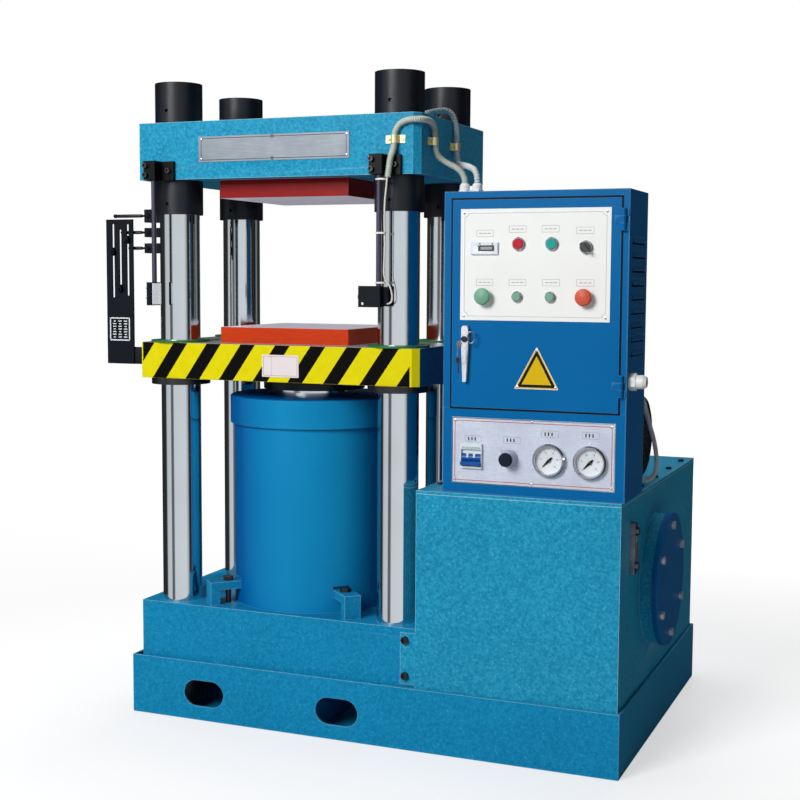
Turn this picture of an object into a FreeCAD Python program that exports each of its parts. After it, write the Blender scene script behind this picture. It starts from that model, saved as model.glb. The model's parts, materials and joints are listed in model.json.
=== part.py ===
"""Four-column hydraulic press with its oil tank, control cabinet, limit switches and light barrier.

Millimetres. The origin lies on the floor under the ram's axis: +X to the operator's right, +Y to the
back, +Z up. Driving sizes stand in the sheet "dims", and what follows from them in "levels".
"""
import FreeCAD, Part
import math
import os
import re
import Sketcher

Vector = FreeCAD.Vector
Rotation = FreeCAD.Rotation
Placement = FreeCAD.Placement

# ---------------------------------------------------------------- driving sizes
DIMS = {
    # tray under the machine
    "tray_height": 150, "tray_wall": 6, "tray_floor": 6, "tray_past_left": 20, "tray_past_right": 8,
    "tray_past_ends": 13, "fork_width": 112, "fork_height": 66, "fork_level": 69, "fork_left": 192,
    "fork_right": 176, "bearer_height": 104, "bearer_thick": 20, "bearer_out": 2, "bearer_lap": 13,
    "bearer_middle_left": 130, "bearer_middle_right": 94, "bearer_tank": 225, "bearer_end": 26,
    # press frame
    "column_pitch_x": 600, "column_pitch_y": 320, "column_diameter": 100, "head_height": 140,
    "corner_cut": 15, "side_edge": 15, "front_edge": 5, "bolster_height": 180, "bolster_past": 5,
    "nut_wall": 9, "nut_tall": 100, "nut_collar": 84, "nut_foot": 80, "pin_hole": 10, "pin_floor": 2,
    "column_short": 6,
    # platens and table
    "platen_side": 350, "upper_platen": 45, "lower_platen": 40, "shut_gap": 68,
    "table_height": 90, "stroke": 250, "bush_wall": 10, "bush_rim": 14, "bush_flange": 16, "bush_collar": 5,
    # cylinder and ram
    "ram_diameter": 210, "piston_step": 20, "piston_height": 60, "cylinder_wall": 80, "cylinder_floor": 60,
    "gland_lip": 10, "gland_height": 71, "gland_spigot": 40, "ram_show": 16, "ram_flange_rim": 25,
    "ram_flange": 28, "ram_spare": 37, "ram_rest": 10, "seal_width": 10, "seal_height": 12, "seal_in": 20,
    "wiper_height": 8, "clamp_out": 78, "clamp_width": 42, "clamp_height": 58, "clamp_arm": 20,
    "clamp_leg": 24, "clamp_nose": 10, "clamp_play": 0.5, "notch_play": 1, "notch_over": 8,
    "stud_diameter": 14, "stud_depth": 28, "stud_head": 10, "port_radius": 20, "port_out": 20,
    "port_bore": 8, "port_level": 70, "run_clearance": 0.05, "soft_clearance": 0.3,
    # tank
    "tank_width": 487, "tank_back": 637, "tank_height": 504, "tank_wall": 5, "tank_lip": 36,
    "lid_thick": 8, "tab_thick": 5, "tab_reach": 38, "tab_foot": 45, "tab_under": 10, "tab_screw": 25,
    "tab_screw_low": 22, "tab_screw_high": 17, "tab_thread": 5.8, "lid_screw_first": 45,
    "lid_screw_pitch": 166, "lid_screw_in": 18, "lid_thread": 3.8, "cover_along": 125, "cover_rise": 278,
    "cover_diameter": 325, "cover_thick": 14, "cover_neck": 30, "cover_rim": 30.5, "neck_in": 4.5,
    "neck_wall": 17, "cover_thread": 5.8, "cover_thread_in": 18, "gauge_along": -127, "gauge_rise": 337,
    "gauge_length": 118, "gauge_width": 26, "gauge_thick": 12, "gauge_head": 19, "gauge_border": 7,
    # cabinet
    "cabinet_in": 62, "cabinet_width": 429, "cabinet_set_back": 10, "cabinet_depth": 180,
    "cabinet_height": 690, "sheet": 2, "door_in_left": 21, "door_in_right": 18, "door_rise": 199,
    "door_under": 19, "door_depth": 18, "door_proud": 2, "door_gap": 2, "panel_thick": 1.5,
    "panel_in_left": 20, "panel_in_right": 22, "panel_rise": 200, "panel_height": 251,
    "strip_in_left": 23, "strip_in_right": 22, "strip_rise": 23, "strip_height": 153,
    "hinge_in": 5.5, "hinge_end": 48, "hinge_foot": 60, "hinge_out": 4, "hinge_radius": 6,
    "hinge_pin": 6, "knuckle": 16, "knuckle_play": 0.2, "leaf_thick": 3, "louvre_rise": 322,
    "louvre_pitch": 31, "louvre_long": 130, "louvre_tall": 13, "louvre_out": 5, "louvre_slot": 5,
    "louvre_front": 30,
    # controls
    "bezel_diameter": 30, "small_bezel": 25, "bezel_proud": 6.5, "bezel_floor": 0.5, "bezel_lip": 3,
    "button_travel": 4, "button_spare": 1, "mushroom_diameter": 38, "mushroom_spare": 3.5, "stem_bore": 18,
    "stem_long": 24, "device_radius": 11, "device_depth": 33, "row_top_rise": 172, "row_low_rise": 54,
    "selector_drop": 8, "grip_width": 7, "grip_proud": 16, "grip_thick": 14, "counter_in": 25,
    "counter_rise": 149, "counter_width": 65, "counter_height": 27, "counter_lip": 3, "counter_proud": 6,
    "breaker_in": 24, "breaker_rise": 36, "breaker_width": 51, "breaker_height": 57, "breaker_proud": 8,
    "breaker_lip": 2, "toggle_rise": 6, "toggle_height": 20, "toggle_proud": 9, "toggle_radius": 9,
    "knob_in": 139, "knob_rise": 63, "knob_diameter": 36, "knob_proud": 33, "knob_shaft": 5,
    "dial_in_left": 234, "dial_in_right": 328, "dial_rise": 64, "dial_diameter": 76, "dial_bore": 62,
    "dial_proud": 14, "dial_deep": 34, "dial_pin": 1.5, "pointer_length": 22, "pointer_tail": 10,
    "pointer_thick": 0.6, "lock_in": 35, "lock_rise": 157, "lock_up": 30, "lock_down": 98,
    "lock_width": 16, "lock_thick": 10, "lock_pin": 8,
    # sensors on the rods
    "rod_diameter": 12, "rod_out": 27, "rod_in_left": 57, "rod_in_right": 88, "rod_up": 44,
    "holder_rise": 98, "reflector_rise": 150, "rod_block": 46, "eye_height": 45, "reflector_width": 43,
    "reflector_height": 57, "reflector_gap": 2, "ear_left": 20, "ear_right": 12, "ear_front": 14,
    "foot_thick": 10, "foot_right": 46, "screw_left": 13, "screw_radius": 4, "screw_depth": 10,
    "plate_left": -205, "plate_width": 405, "plate_rise": 40, "plate_height": 62,
    # limit switches
    "slide_out": 184, "slide_width": 82, "slide_rise": 24, "slide_height": 379, "slide_thick": 5,
    "slide_back": 100, "slot_width": 7, "cam_thick": 5, "cam_width": 16, "cam_height": 22, "dog_radius": 9,
    "bracket_thick": 6, "bracket_height": 45, "bracket_depth": 42, "bracket_lap": 24, "rail_out": 46,
    "rail_face": 51, "rail_drop": 190, "rail_up": 85, "rail_off": 6, "rail_foot": 15, "inlet_out": 25,
    "inlet_drop": 25, "inlet_side": 30, "inlet_tall": 40, "switch_width": 60, "switch_depth": 34,
    "switch_out": 79, "pivot_in": 10, "shaft_radius": 4, "shaft_reach": 6, "roller_diameter": 10,
    "roller_width": 6, "lever_thick": 3, "lever_width": 6, "pass_clearance": 0.6,
    # pump set
    "motor_diameter": 216, "motor_length": 300, "motor_in": 30, "motor_back": 120, "motor_foot": 4,
    "cowl_long": 60, "flange_thick": 14, "fin_height": 10, "fin_thick": 2.5, "pump_length": 110,
    "pump_drop": 60, "pump_port": 18, "pipe_diameter": 22, "pipe_bend": 60, "valve_in": 45,
    "valve_width": 130, "valve_depth": 110, "valve_height": 90, "valve_from_back": 240,
    # conduits, glands and saddles
    "conduit_diameter": 15, "thin_conduit": 12, "rib_height": 1.2, "conduit_wall": 1, "cable_diameter": 4.4,
    "gland_diameter_top": 30, "gland_out": 24, "tail_radius": 7.5, "gland_first": 16, "gland_second": 47,
    "gland_from_back": 90, "rear_gland_in": 31, "rear_gland_rise": 28, "main_gland": 19.5,
    "main_gland_out": 38, "main_gland_bore": 8, "main_gland_tail": 11.5, "main_gland_back": 30,
    "main_gland_rise": 268, "small_gland": 12, "clip_thick": 1.5, "clip_width": 18, "clip_span": 48,
    "clip_screw": 4, "clip_screw_in": 6, "clip_rise": 79,
}

# what follows from the driving sizes, in the order it is built up
LEVELS = {
    "nut_diameter": "column_diameter + 2 * nut_wall",
    "bush_diameter": "column_diameter + 2 * bush_wall",
    "bush_flange_diameter": "bush_diameter + 2 * bush_rim",
    "head_width": "column_pitch_x + bush_diameter + 2 * side_edge",
    "head_depth": "column_pitch_y + bush_diameter + 2 * front_edge",
    "bolster_left": "head_width / 2 + bolster_past",
    "bolster_right": "head_width / 2",
    "bolster_bottom": "tray_floor + bearer_height",
    "bolster_top": "bolster_bottom + bolster_height",
    "cylinder_bore": "ram_diameter + 2 * piston_step",
    "cylinder_diameter": "cylinder_bore + 2 * cylinder_wall",
    "cylinder_height": "cylinder_floor + ram_rest + piston_height + stroke + ram_spare + gland_spigot",
    "gland_diameter": "cylinder_diameter + 2 * gland_lip",
    "ram_flange_diameter": "ram_diameter + 2 * ram_flange_rim",
    "clamp_reach": "cylinder_diameter / 2 + clamp_out",
    "cylinder_seam": "bolster_top + cylinder_height",
    "cylinder_top": "cylinder_seam + gland_height",
    "flange_bottom": "cylinder_top + ram_show",
    "table_bottom": "flange_bottom + ram_flange",
    "table_top": "table_bottom + table_height",
    "platen_top": "table_top + lower_platen",
    "press_face": "platen_top + stroke + shut_gap",
    "head_bottom": "press_face + upper_platen",
    "head_top": "head_bottom + head_height",
    "tank_front": "head_depth / 2 + tab_thick",
    "tank_right": "bolster_right + tank_width",
    "tab_low": "bolster_bottom + tab_foot",
    "tab_high": "bolster_top - tab_under",
    "lid_bottom": "bolster_bottom + tank_height",
    "lid_top": "lid_bottom + lid_thick",
    "cover_level": "bolster_bottom + cover_rise",
    "cover_circle": "cover_diameter - 2 * cover_rim",
    "neck_diameter": "cover_diameter - 2 * neck_in",
    "neck_bore": "cover_circle - 2 * neck_wall",
    "gauge_low": "bolster_bottom + gauge_rise",
    "tray_left": "bolster_left + tray_past_left",
    "tray_right": "tank_right + tray_past_right",
    "tray_front": "tank_front + tray_past_ends",
    "tray_back": "tank_back + tray_past_ends",
    "cabinet_left": "bolster_right + cabinet_in",
    "cabinet_right": "cabinet_left + cabinet_width",
    "cabinet_front": "tank_front - cabinet_set_back",
    "cabinet_back": "cabinet_depth - cabinet_front",
    "cabinet_top": "lid_top + cabinet_height",
    "door_left": "cabinet_left + door_in_left",
    "door_width": "cabinet_width - door_in_left - door_in_right",
    "door_low": "lid_top + door_rise",
    "door_height": "cabinet_top - door_under - door_low",
    "door_face": "0 - cabinet_front - door_proud",
    "panel_left": "door_left + panel_in_left",
    "panel_width": "door_width - panel_in_left - panel_in_right",
    "panel_low": "door_low + panel_rise",
    "panel_face": "door_face - panel_thick",
    "strip_left": "cabinet_left + strip_in_left",
    "strip_width": "cabinet_width - strip_in_left - strip_in_right",
    "strip_low": "lid_top + strip_rise",
    "strip_face": "0 - cabinet_front - panel_thick",
    "hinge_along": "door_left + door_width + hinge_in",
    "hinge_face": "door_face - hinge_out",
    "hinge_high": "door_low + door_height - hinge_end",
    "hinge_low": "door_low + hinge_foot",
    "device_hole": "device_radius + soft_clearance",
    "row_top": "panel_low + row_top_rise",
    "row_low": "panel_low + row_low_rise",
    "counter_left": "panel_left + counter_in",
    "counter_low": "panel_low + counter_rise",
    "breaker_left": "strip_left + breaker_in",
    "breaker_low": "strip_low + breaker_rise",
    "toggle_low": "breaker_low + toggle_rise",
    "knob_along": "strip_left + knob_in",
    "knob_level": "strip_low + knob_rise",
    "dial_left": "strip_left + dial_in_left",
    "dial_right": "strip_left + dial_in_right",
    "dial_level": "strip_low + dial_rise",
    "lock_along": "door_left + lock_in",
    "lock_level": "door_low + lock_rise",
    "rod_line": "0 - head_depth / 2 - rod_out",
    "rod_left": "rod_in_left - head_width / 2",
    "rod_right": "head_width / 2 - rod_in_right",
    "rod_high": "head_bottom + rod_up",
    "holder_low": "table_top + holder_rise",
    "reflector_top": "table_top + reflector_rise",
    "reflector_front": "0 - column_pitch_y / 2 - bush_flange_diameter / 2 - reflector_gap - reflector_width",
    "plate_low": "head_bottom + plate_rise",
    "slide_left": "0 - head_width / 2 - slide_out",
    "slide_low": "table_bottom + slide_rise",
    "slide_face": "0 - slide_back - slide_thick",
    "rail_left": "0 - head_width / 2 - rail_out",
    "rail_low": "head_bottom - rail_drop",
    "rail_high": "head_bottom + rail_up",
    "inlet_along": "head_width / 2 + inlet_out",
    "inlet_top": "head_bottom - inlet_drop",
    "switch_left": "0 - head_width / 2 - switch_out",
    "ram_bottom": "bolster_top + cylinder_floor + ram_rest",
    "cap_rest": "bezel_floor + button_travel + button_spare",
    "mushroom_stand": "bezel_proud + button_travel + mushroom_spare",
    "motor_level": "lid_top + motor_diameter / 2 + motor_foot",
    "motor_right": "tank_right - motor_in",
    "motor_inlet": "motor_level + motor_diameter / 2 + 20",
    "valve_left": "bolster_right + valve_in",
    "valve_front": "tank_back - valve_from_back",
    "gland_back": "cabinet_back - gland_from_back",
}

doc = FreeCAD.newDocument("hydraulic_press")
dims = doc.addObject("Spreadsheet::Sheet", "dims")
levels = doc.addObject("Spreadsheet::Sheet", "levels")


def formula(text):
    """The text with each size's name led by its sheet's name."""
    def lead(match):
        word = match.group(0)
        if word in DIMS:
            return "dims." + word
        return "levels." + word if word in LEVELS else word
    return re.sub(r"[a-z][a-z_]*[a-z]", lead, str(text))


def fill(sheet, rows, as_formula):
    for row, (alias, text) in enumerate(rows.items(), start=1):
        sheet.set(f"A{row}", alias)
        sheet.set(f"B{row}", "=" + formula(text) if as_formula else str(text))
        sheet.setAlias(f"B{row}", alias)


fill(dims, DIMS, False)
doc.recompute()
fill(levels, LEVELS, True)
doc.recompute()


def read(name):
    """A size's number, for the shapes that are drawn point by point."""
    return float((dims if name in DIMS else levels).get(name))


# ---------------------------------------------------------------- drawing helpers
NODES = {}
TURNS = {
    "z": Rotation(),
    "x": Rotation(Vector(0, 1, 0), 90),
    "-x": Rotation(Vector(0, 1, 0), -90),
    "y": Rotation(Vector(1, 0, 0), -90),
    "-y": Rotation(Vector(1, 0, 0), 90),
}


def keep(piece, node):
    """The piece becomes a node of the part under this name."""
    piece.Label = node
    NODES[node] = piece
    return piece


def put(piece, at, turn=None):
    if turn is not None:
        piece.Placement = Placement(Vector(), turn)
    for axis, text in zip("xyz", at):
        piece.setExpression("Placement.Base." + axis, formula(text))
    return piece


def block(name, low, size):
    """A box from its lowest corner."""
    piece = doc.addObject("Part::Box", name)
    for prop, text in zip(("Length", "Width", "Height"), size):
        piece.setExpression(prop, formula(text))
    return put(piece, low)


def drum(name, foot, radius, length, along="z"):
    """A round bar from the centre of its foot."""
    piece = doc.addObject("Part::Cylinder", name)
    piece.setExpression("Radius", formula(radius))
    piece.setExpression("Height", formula(length))
    return put(piece, foot, TURNS[along])


def cut(name, base, tools):
    piece = doc.addObject("Part::Cut", name)
    piece.Base = base
    piece.Tool = tools[0] if len(tools) == 1 else group(name + "_tools", tools)
    return piece


def fuse(name, parts):
    piece = doc.addObject("Part::MultiFuse", name)
    piece.Shapes = parts
    piece.Refine = True
    return piece


def group(name, parts):
    piece = doc.addObject("Part::Compound", name)
    piece.Links = parts
    return piece


def ring(name, foot, radius, bore, length, along="z"):
    """A round bar with a bore right through it."""
    outside = drum(name + "_outside", foot, radius, length, along)
    inside = drum(name + "_inside", foot, bore, length, along)
    return cut(name, outside, [inside])


def drawing_on(body, plane, offset="0"):
    """An empty sketch on one of the body's own planes, moved along that plane's normal."""
    drawing = body.newObject("Sketcher::SketchObject", body.Name + "_sketch")
    origin = next(item for item in body.Origin.OriginFeatures if item.Role == plane)
    drawing.AttachmentSupport = [(origin, "")]
    drawing.MapMode = "FlatFace"
    drawing.setExpression("AttachmentOffset.Base.z", formula(offset))
    return drawing


def bind_point(drawing, edge, end, point):
    """Ties one end of an edge to a pair of formulas."""
    for kind, text in zip(("DistanceX", "DistanceY"), point):
        index = drawing.addConstraint(Sketcher.Constraint(kind, -1, 1, edge, end, 1.0))
        drawing.setExpression(f"Constraints[{index}]", formula(text))


def draw_loop(drawing, points):
    """A closed outline of straight lines through pairs of formulas."""
    first = drawing.GeometryCount
    count = len(points)
    spots = [Vector(math.cos(2 * math.pi * i / count), math.sin(2 * math.pi * i / count), 0)
             for i in range(count)]
    for i in range(count):
        drawing.addGeometry(Part.LineSegment(spots[i], spots[(i + 1) % count]))
    for i in range(count):
        drawing.addConstraint(Sketcher.Constraint("Coincident", first + i, 2, first + (i + 1) % count, 1))
    for i, point in enumerate(points):
        bind_point(drawing, first + i, 1, point)


def draw_circle(drawing, centre, radius):
    edge = drawing.addGeometry(Part.Circle(Vector(1, 1, 0), Vector(0, 0, 1), 1))
    bind_point(drawing, edge, 3, centre)
    index = drawing.addConstraint(Sketcher.Constraint("Radius", edge, 1.0))
    drawing.setExpression(f"Constraints[{index}]", formula(radius))


def flat(name, plane, offset, outline, thickness, circles=(), loops=()):
    """A flat piece: an outline with its openings, padded along the plane's normal."""
    body = doc.addObject("PartDesign::Body", name)
    drawing = drawing_on(body, plane, offset)
    draw_loop(drawing, outline)
    for loop in loops:
        draw_loop(drawing, loop)
    for centre, radius in circles:
        draw_circle(drawing, centre, radius)
    pad = body.newObject("PartDesign::Pad", name + "_pad")
    pad.Profile = drawing
    pad.setExpression("Length", formula(thickness))
    drawing.Visibility = False
    return body


def slab(node, *drawn, **openings):
    """A flat piece that is a node of its own."""
    return keep(flat(node, *drawn, **openings), node)


def turned(name, profile, at, along="z"):
    """A turned piece: its half section, in radius and height, turned about its own axis."""
    body = doc.addObject("PartDesign::Body", name)
    drawing = drawing_on(body, "XZ_Plane")
    draw_loop(drawing, profile)
    turn = body.newObject("PartDesign::Revolution", name + "_turn")
    turn.Profile = drawing
    turn.ReferenceAxis = (drawing, ["V_Axis"])
    turn.Angle = 360
    return put(body, at, TURNS[along])


def pocket_into(body, plane, offset, loops, depth, reverse, circles=()):
    """Outlines cut into a body from a plane; the volume shows that the cut went into it."""
    doc.recompute()
    before = body.Shape.Volume
    drawing = drawing_on(body, plane, offset)
    for loop in loops:
        draw_loop(drawing, loop)
    for centre, radius in circles:
        draw_circle(drawing, centre, radius)
    pocket = body.newObject("PartDesign::Pocket", body.Name + "_pocket")
    pocket.Profile = drawing
    pocket.setExpression("Length", formula(depth))
    pocket.Reversed = reverse
    doc.recompute()
    if body.Shape.Volume >= before:
        raise RuntimeError("the pocket missed " + body.Label)


def oblong(low, high):
    """The four corners of a rectangle, as pairs of formulas."""
    return [(low[0], low[1]), (high[0], low[1]), (high[0], high[1]), (low[0], high[1])]


def cut_cornered(left, front, right, back, bevel):
    """A rectangle whose front right corner, beside the cabinet's door, is cut at 45 degrees."""
    return [(left, front), (f"{right} - {bevel}", front), (right, f"{front} + {bevel}"),
            (right, back), (left, back)]


TAB_LEVELS = ("tab_low + tab_screw_low", "tab_high - tab_screw_high")
STUD_CIRCLE = "((cylinder_diameter / 2 + clamp_reach - clamp_leg) / 2)"
SENSOR_RODS = {"left": "rod_left", "right": "rod_right"}
HALF_X = "column_pitch_x / 2"
HALF_Y = "column_pitch_y / 2"
COLUMNS = {
    "front_left": ("0 - " + HALF_X, "0 - " + HALF_Y),
    "front_right": (HALF_X, "0 - " + HALF_Y),
    "rear_left": ("0 - " + HALF_X, HALF_Y),
    "rear_right": (HALF_X, HALF_Y),
}


# ---------------------------------------------------------------- tray under the machine
def fork_slot(name, along, face):
    """The tool for one obround slot through an end wall, reaching well past its faces."""
    radius = "fork_height / 2"
    length = "tray_wall * 3"
    ends = [drum(f"{name}_{side}", (f"{along} {sign} (fork_width - fork_height) / 2", face, "fork_level"),
                 radius, length, "y") for side, sign in (("low", "-"), ("high", "+"))]
    middle = block(name + "_middle", (f"{along} - fork_width / 2 + fork_height / 2", face,
                                      "fork_level - fork_height / 2"),
                   ("fork_width - fork_height", length, "fork_height"))
    return fuse(name, ends + [middle])


def make_tray():
    """The welded skid: floor, walls slotted for a fork truck's tines, and the bars that carry the press."""
    outside = block("tray_outside", ("0 - tray_left", "0 - tray_front", "0"),
                    ("tray_left + tray_right", "tray_front + tray_back", "tray_height"))
    inside = block("tray_inside", ("tray_wall - tray_left", "tray_wall - tray_front", "tray_floor"),
                   ("tray_left + tray_right - 2 * tray_wall", "tray_front + tray_back - 2 * tray_wall",
                    "tray_height"))
    slots = []
    for side, along in (("left", "0 - fork_left"), ("right", "fork_right")):
        for end, face in (("front", "0 - tray_front - tray_wall"), ("rear", "tray_back - tray_wall * 2")):
            slots.append(fork_slot(f"slot_{end}_{side}", along, face))
    shell = cut("tray", outside, [inside] + slots)
    bearers = []
    places = ("0 - bolster_left - bearer_out", "0 - bearer_middle_left", "bearer_middle_right",
              "bolster_right - bearer_lap", "bolster_right + bearer_tank", "tank_right - bearer_end")
    for number, along in enumerate(places, start=1):
        bearers.append(block(f"bearer_{number}", (along, "tray_wall - tray_front", "tray_floor"),
                             ("bearer_thick", "tray_front + tray_back - 2 * tray_wall", "bearer_height")))
    keep(fuse("skid", [shell] + bearers), "base_tray")


# ---------------------------------------------------------------- press frame
def make_frame():
    """Bolster, four tie columns, their nuts and the fixed crosshead."""
    bores = [(centre, "column_diameter / 2 + run_clearance") for centre in COLUMNS.values()]
    slab("bolster", "XY_Plane", "bolster_bottom",
         oblong(("0 - bolster_left", "0 - head_depth / 2"), ("bolster_right", "head_depth / 2")),
         "bolster_height", bores)
    slab("crosshead", "XY_Plane", "head_bottom",
         cut_cornered("0 - head_width / 2", "0 - head_depth / 2", "head_width / 2", "head_depth / 2",
                      "corner_cut"), "head_height", bores)
    tapped = [((f"{along} + foot_right - screw_left", "rod_high - rod_block / 2"),
               "screw_radius + run_clearance") for along in SENSOR_RODS.values()]
    pocket_into(NODES["crosshead"], "XZ_Plane", "head_depth / 2", [], "screw_depth + 2", False, tapped)
    studs = []
    for number in range(4):
        angle = math.radians(45 + 90 * number)
        studs.append(((f"{STUD_CIRCLE} * {math.cos(angle):.9f}", f"{STUD_CIRCLE} * {math.sin(angle):.9f}"),
                      "stud_diameter / 2 + run_clearance"))
    pocket_into(NODES["bolster"], "XY_Plane", "bolster_top", [], "stud_depth + 2", False, studs)
    tapped = [(("bolster_right - tab_screw", level), "tab_thread + run_clearance") for level in TAB_LEVELS]
    pocket_into(NODES["bolster"], "XZ_Plane", "head_depth / 2", [], "screw_depth + 2", False, tapped)
    columns = []
    nuts = []
    for place, (along, back) in COLUMNS.items():
        foot = "bolster_bottom - nut_foot + column_short"
        columns.append(drum("column_" + place, (along, back, foot), "column_diameter / 2",
                            f"head_top + nut_tall - column_short - ({foot})"))
        spans = {"foot": ("bolster_bottom - nut_foot", "nut_foot"),
                 "collar": ("head_bottom - nut_collar", "nut_collar"),
                 "top": ("head_top", "nut_tall")}
        for level, (foot, tall) in spans.items():
            name = f"{level}_nut_{place}"
            nut = ring(name + "_ring", (along, back, foot), "nut_diameter / 2",
                       "column_diameter / 2 + run_clearance", tall)
            hole = drum(name + "_hole", (along, f"{back} - nut_diameter / 2 - 1", f"{foot} + {tall} * 0.3"),
                        "pin_hole / 2", "nut_wall - pin_floor + 1", "y")
            nuts.append(cut(name, nut, [hole]))
    keep(group("columns_group", columns), "columns")
    keep(group("nuts_group", nuts), "column_nuts")
    half = "platen_side / 2"
    slab("upper_platen", "XY_Plane", "press_face",
         oblong(("0 - " + half, "0 - " + half), (half, half)), "upper_platen")


# ---------------------------------------------------------------- cylinder and ram
def make_cylinder():
    """A thick walled plunger cylinder with a bolted-in gland, its two rings and four foot clamps."""
    wall = "cylinder_diameter / 2"
    bore = "cylinder_bore / 2"
    body = turned("cylinder_turned", [
        ("0", "0"), (wall, "0"), (wall, "cylinder_height"), (bore, "cylinder_height"),
        (bore, "cylinder_floor"), ("0", "cylinder_floor")], ("0", "0", "bolster_top"))
    notches = []
    for number in range(4):
        notch = block(f"clamp_notch_{number}", ("0", "0", "0"),
                      ("clamp_nose + 2", "clamp_width + 2 * notch_play", "clamp_arm + notch_over"))
        angle = 45 + 90 * number
        lean = math.radians(angle)
        notch.Placement = Placement(Vector(), Rotation(Vector(0, 0, 1), angle))
        reach = "(cylinder_diameter / 2 - clamp_nose)"
        side = "(clamp_width / 2 + notch_play)"
        put(notch, (f"{reach} * {math.cos(lean)} + {side} * {math.sin(lean)}",
                    f"{reach} * {math.sin(lean)} - {side} * {math.cos(lean)}",
                    "bolster_top + clamp_height - clamp_arm"))
        notches.append(notch)
    port = ("0", f"{wall} + port_out", "bolster_top + port_level")
    boss = drum("cylinder_boss", port, "port_radius", f"{wall} + port_out - {bore} - 20", "-y")
    notches.append(drum("cylinder_port", port, "port_bore", f"{wall} + port_out - {bore} + 20", "-y"))
    keep(cut("cylinder_notched", fuse("cylinder_solid", [body, boss]), notches), "cylinder_body")
    slide = "ram_diameter / 2 + run_clearance"
    groove = f"{slide} + seal_width"
    rim = "gland_diameter / 2"
    spigot = "cylinder_bore / 2 - run_clearance"
    seal = "gland_spigot + seal_in"
    wiper = "gland_spigot + gland_height - wiper_height"
    keep(turned("cylinder_gland", [
        (slide, "0"), (spigot, "0"), (spigot, "gland_spigot"), (rim, "gland_spigot"),
        (rim, "gland_spigot + gland_height - 3"), (f"{rim} - 3", "gland_spigot + gland_height"),
        (groove, "gland_spigot + gland_height"), (groove, wiper), (slide, wiper),
        (slide, f"{seal} + seal_height"), (groove, f"{seal} + seal_height"), (groove, seal), (slide, seal),
    ], ("0", "0", "cylinder_seam - gland_spigot")), "cylinder_gland")
    rings = [ring("rod_seal", ("0", "0", "cylinder_seam + seal_in"), groove, slide, "seal_height"),
             ring("rod_wiper", ("0", "0", "cylinder_top - wiper_height"), groove, slide, "wiper_height")]
    keep(group("rings", rings), "cylinder_seals")


def clamp_at(number):
    """One foot clamp: a leg on the bolster, an arm whose nose lies in the cylinder's notch."""
    angle = 45 + 90 * number
    nose = "(cylinder_diameter / 2 - clamp_nose + clamp_play)"
    arm = block(f"clamp_arm_{number}",
                (nose, "0 - clamp_width / 2", "bolster_top + clamp_height - clamp_arm"),
                (f"clamp_reach - {nose}", "clamp_width", "clamp_arm"))
    leg = block(f"clamp_leg_{number}", ("clamp_reach - clamp_leg", "0 - clamp_width / 2", "bolster_top"),
                ("clamp_leg", "clamp_width", "clamp_height - clamp_arm"))
    shank = drum(f"clamp_bore_{number}", (STUD_CIRCLE, "0", "bolster_top"),
                 "stud_diameter / 2 + soft_clearance", "clamp_height")
    shape = cut(f"clamp_{number}", fuse(f"clamp_solid_{number}", [arm, leg]), [shank])
    shape.Placement = Placement(Vector(), Rotation(Vector(0, 0, 1), angle))
    stud = drum(f"clamp_stud_{number}", (STUD_CIRCLE, "0", "bolster_top - stud_depth"), "stud_diameter / 2",
                "clamp_height + stud_depth")
    head = hexagon(f"clamp_head_{number}", (STUD_CIRCLE, "0", "bolster_top + clamp_height"),
                   "stud_diameter * 0.95", "stud_head")
    screw = fuse(f"clamp_screw_{number}", [stud, head])
    screw.Placement = Placement(Vector(), Rotation(Vector(0, 0, 1), angle))
    return shape, screw


def hexagon(name, foot, radius, height, along="z"):
    """A six sided bar, such as a screw's head; the radius is to its corners."""
    piece = doc.addObject("Part::Prism", name)
    piece.Polygon = 6
    piece.setExpression("Circumradius", formula(radius))
    piece.setExpression("Height", formula(height))
    return put(piece, foot, TURNS[along])


def make_table():
    """The moving table with its guide bushes, platen, ram and the ram's flange."""
    seats = [(centre, "bush_diameter / 2 + run_clearance") for centre in COLUMNS.values()]
    slab("moving_table", "XY_Plane", "table_bottom",
         cut_cornered("0 - head_width / 2", "0 - head_depth / 2", "head_width / 2", "head_depth / 2",
                      "corner_cut"), "table_height", seats)
    bushes = []
    slide = "column_diameter / 2 + run_clearance"
    for place, (along, back) in COLUMNS.items():
        name = "bush_" + place
        sleeve = drum(name + "_sleeve", (along, back, "table_bottom - bush_flange"), "bush_diameter / 2",
                      "bush_flange + table_height + bush_collar")
        flange = drum(name + "_flange", (along, back, "table_bottom - bush_flange"),
                      "bush_flange_diameter / 2", "bush_flange")
        collar = drum(name + "_collar", (along, back, "table_top"), "bush_flange_diameter / 2", "bush_collar")
        bore = drum(name + "_bore", (along, back, "table_bottom - bush_flange"), slide,
                    "bush_flange + table_height + bush_collar")
        bushes.append(cut(name, fuse(name + "_solid", [sleeve, flange, collar]), [bore]))
    keep(group("bushes", bushes), "guide_bushes")
    half = "platen_side / 2"
    slab("lower_platen", "XY_Plane", "table_top",
         oblong(("0 - " + half, "0 - " + half), (half, half)), "lower_platen")
    keep(turned("ram", [
        ("0", "0"), ("cylinder_bore / 2 - run_clearance", "0"),
        ("cylinder_bore / 2 - run_clearance", "piston_height"), ("ram_diameter / 2", "piston_height"),
        ("ram_diameter / 2", "table_bottom - ram_bottom"), ("0", "table_bottom - ram_bottom")],
        ("0", "0", "ram_bottom")), "ram")
    keep(ring("ram_ring", ("0", "0", "flange_bottom"), "ram_flange_diameter / 2",
              "ram_diameter / 2 + run_clearance", "ram_flange"), "ram_flange")


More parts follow.
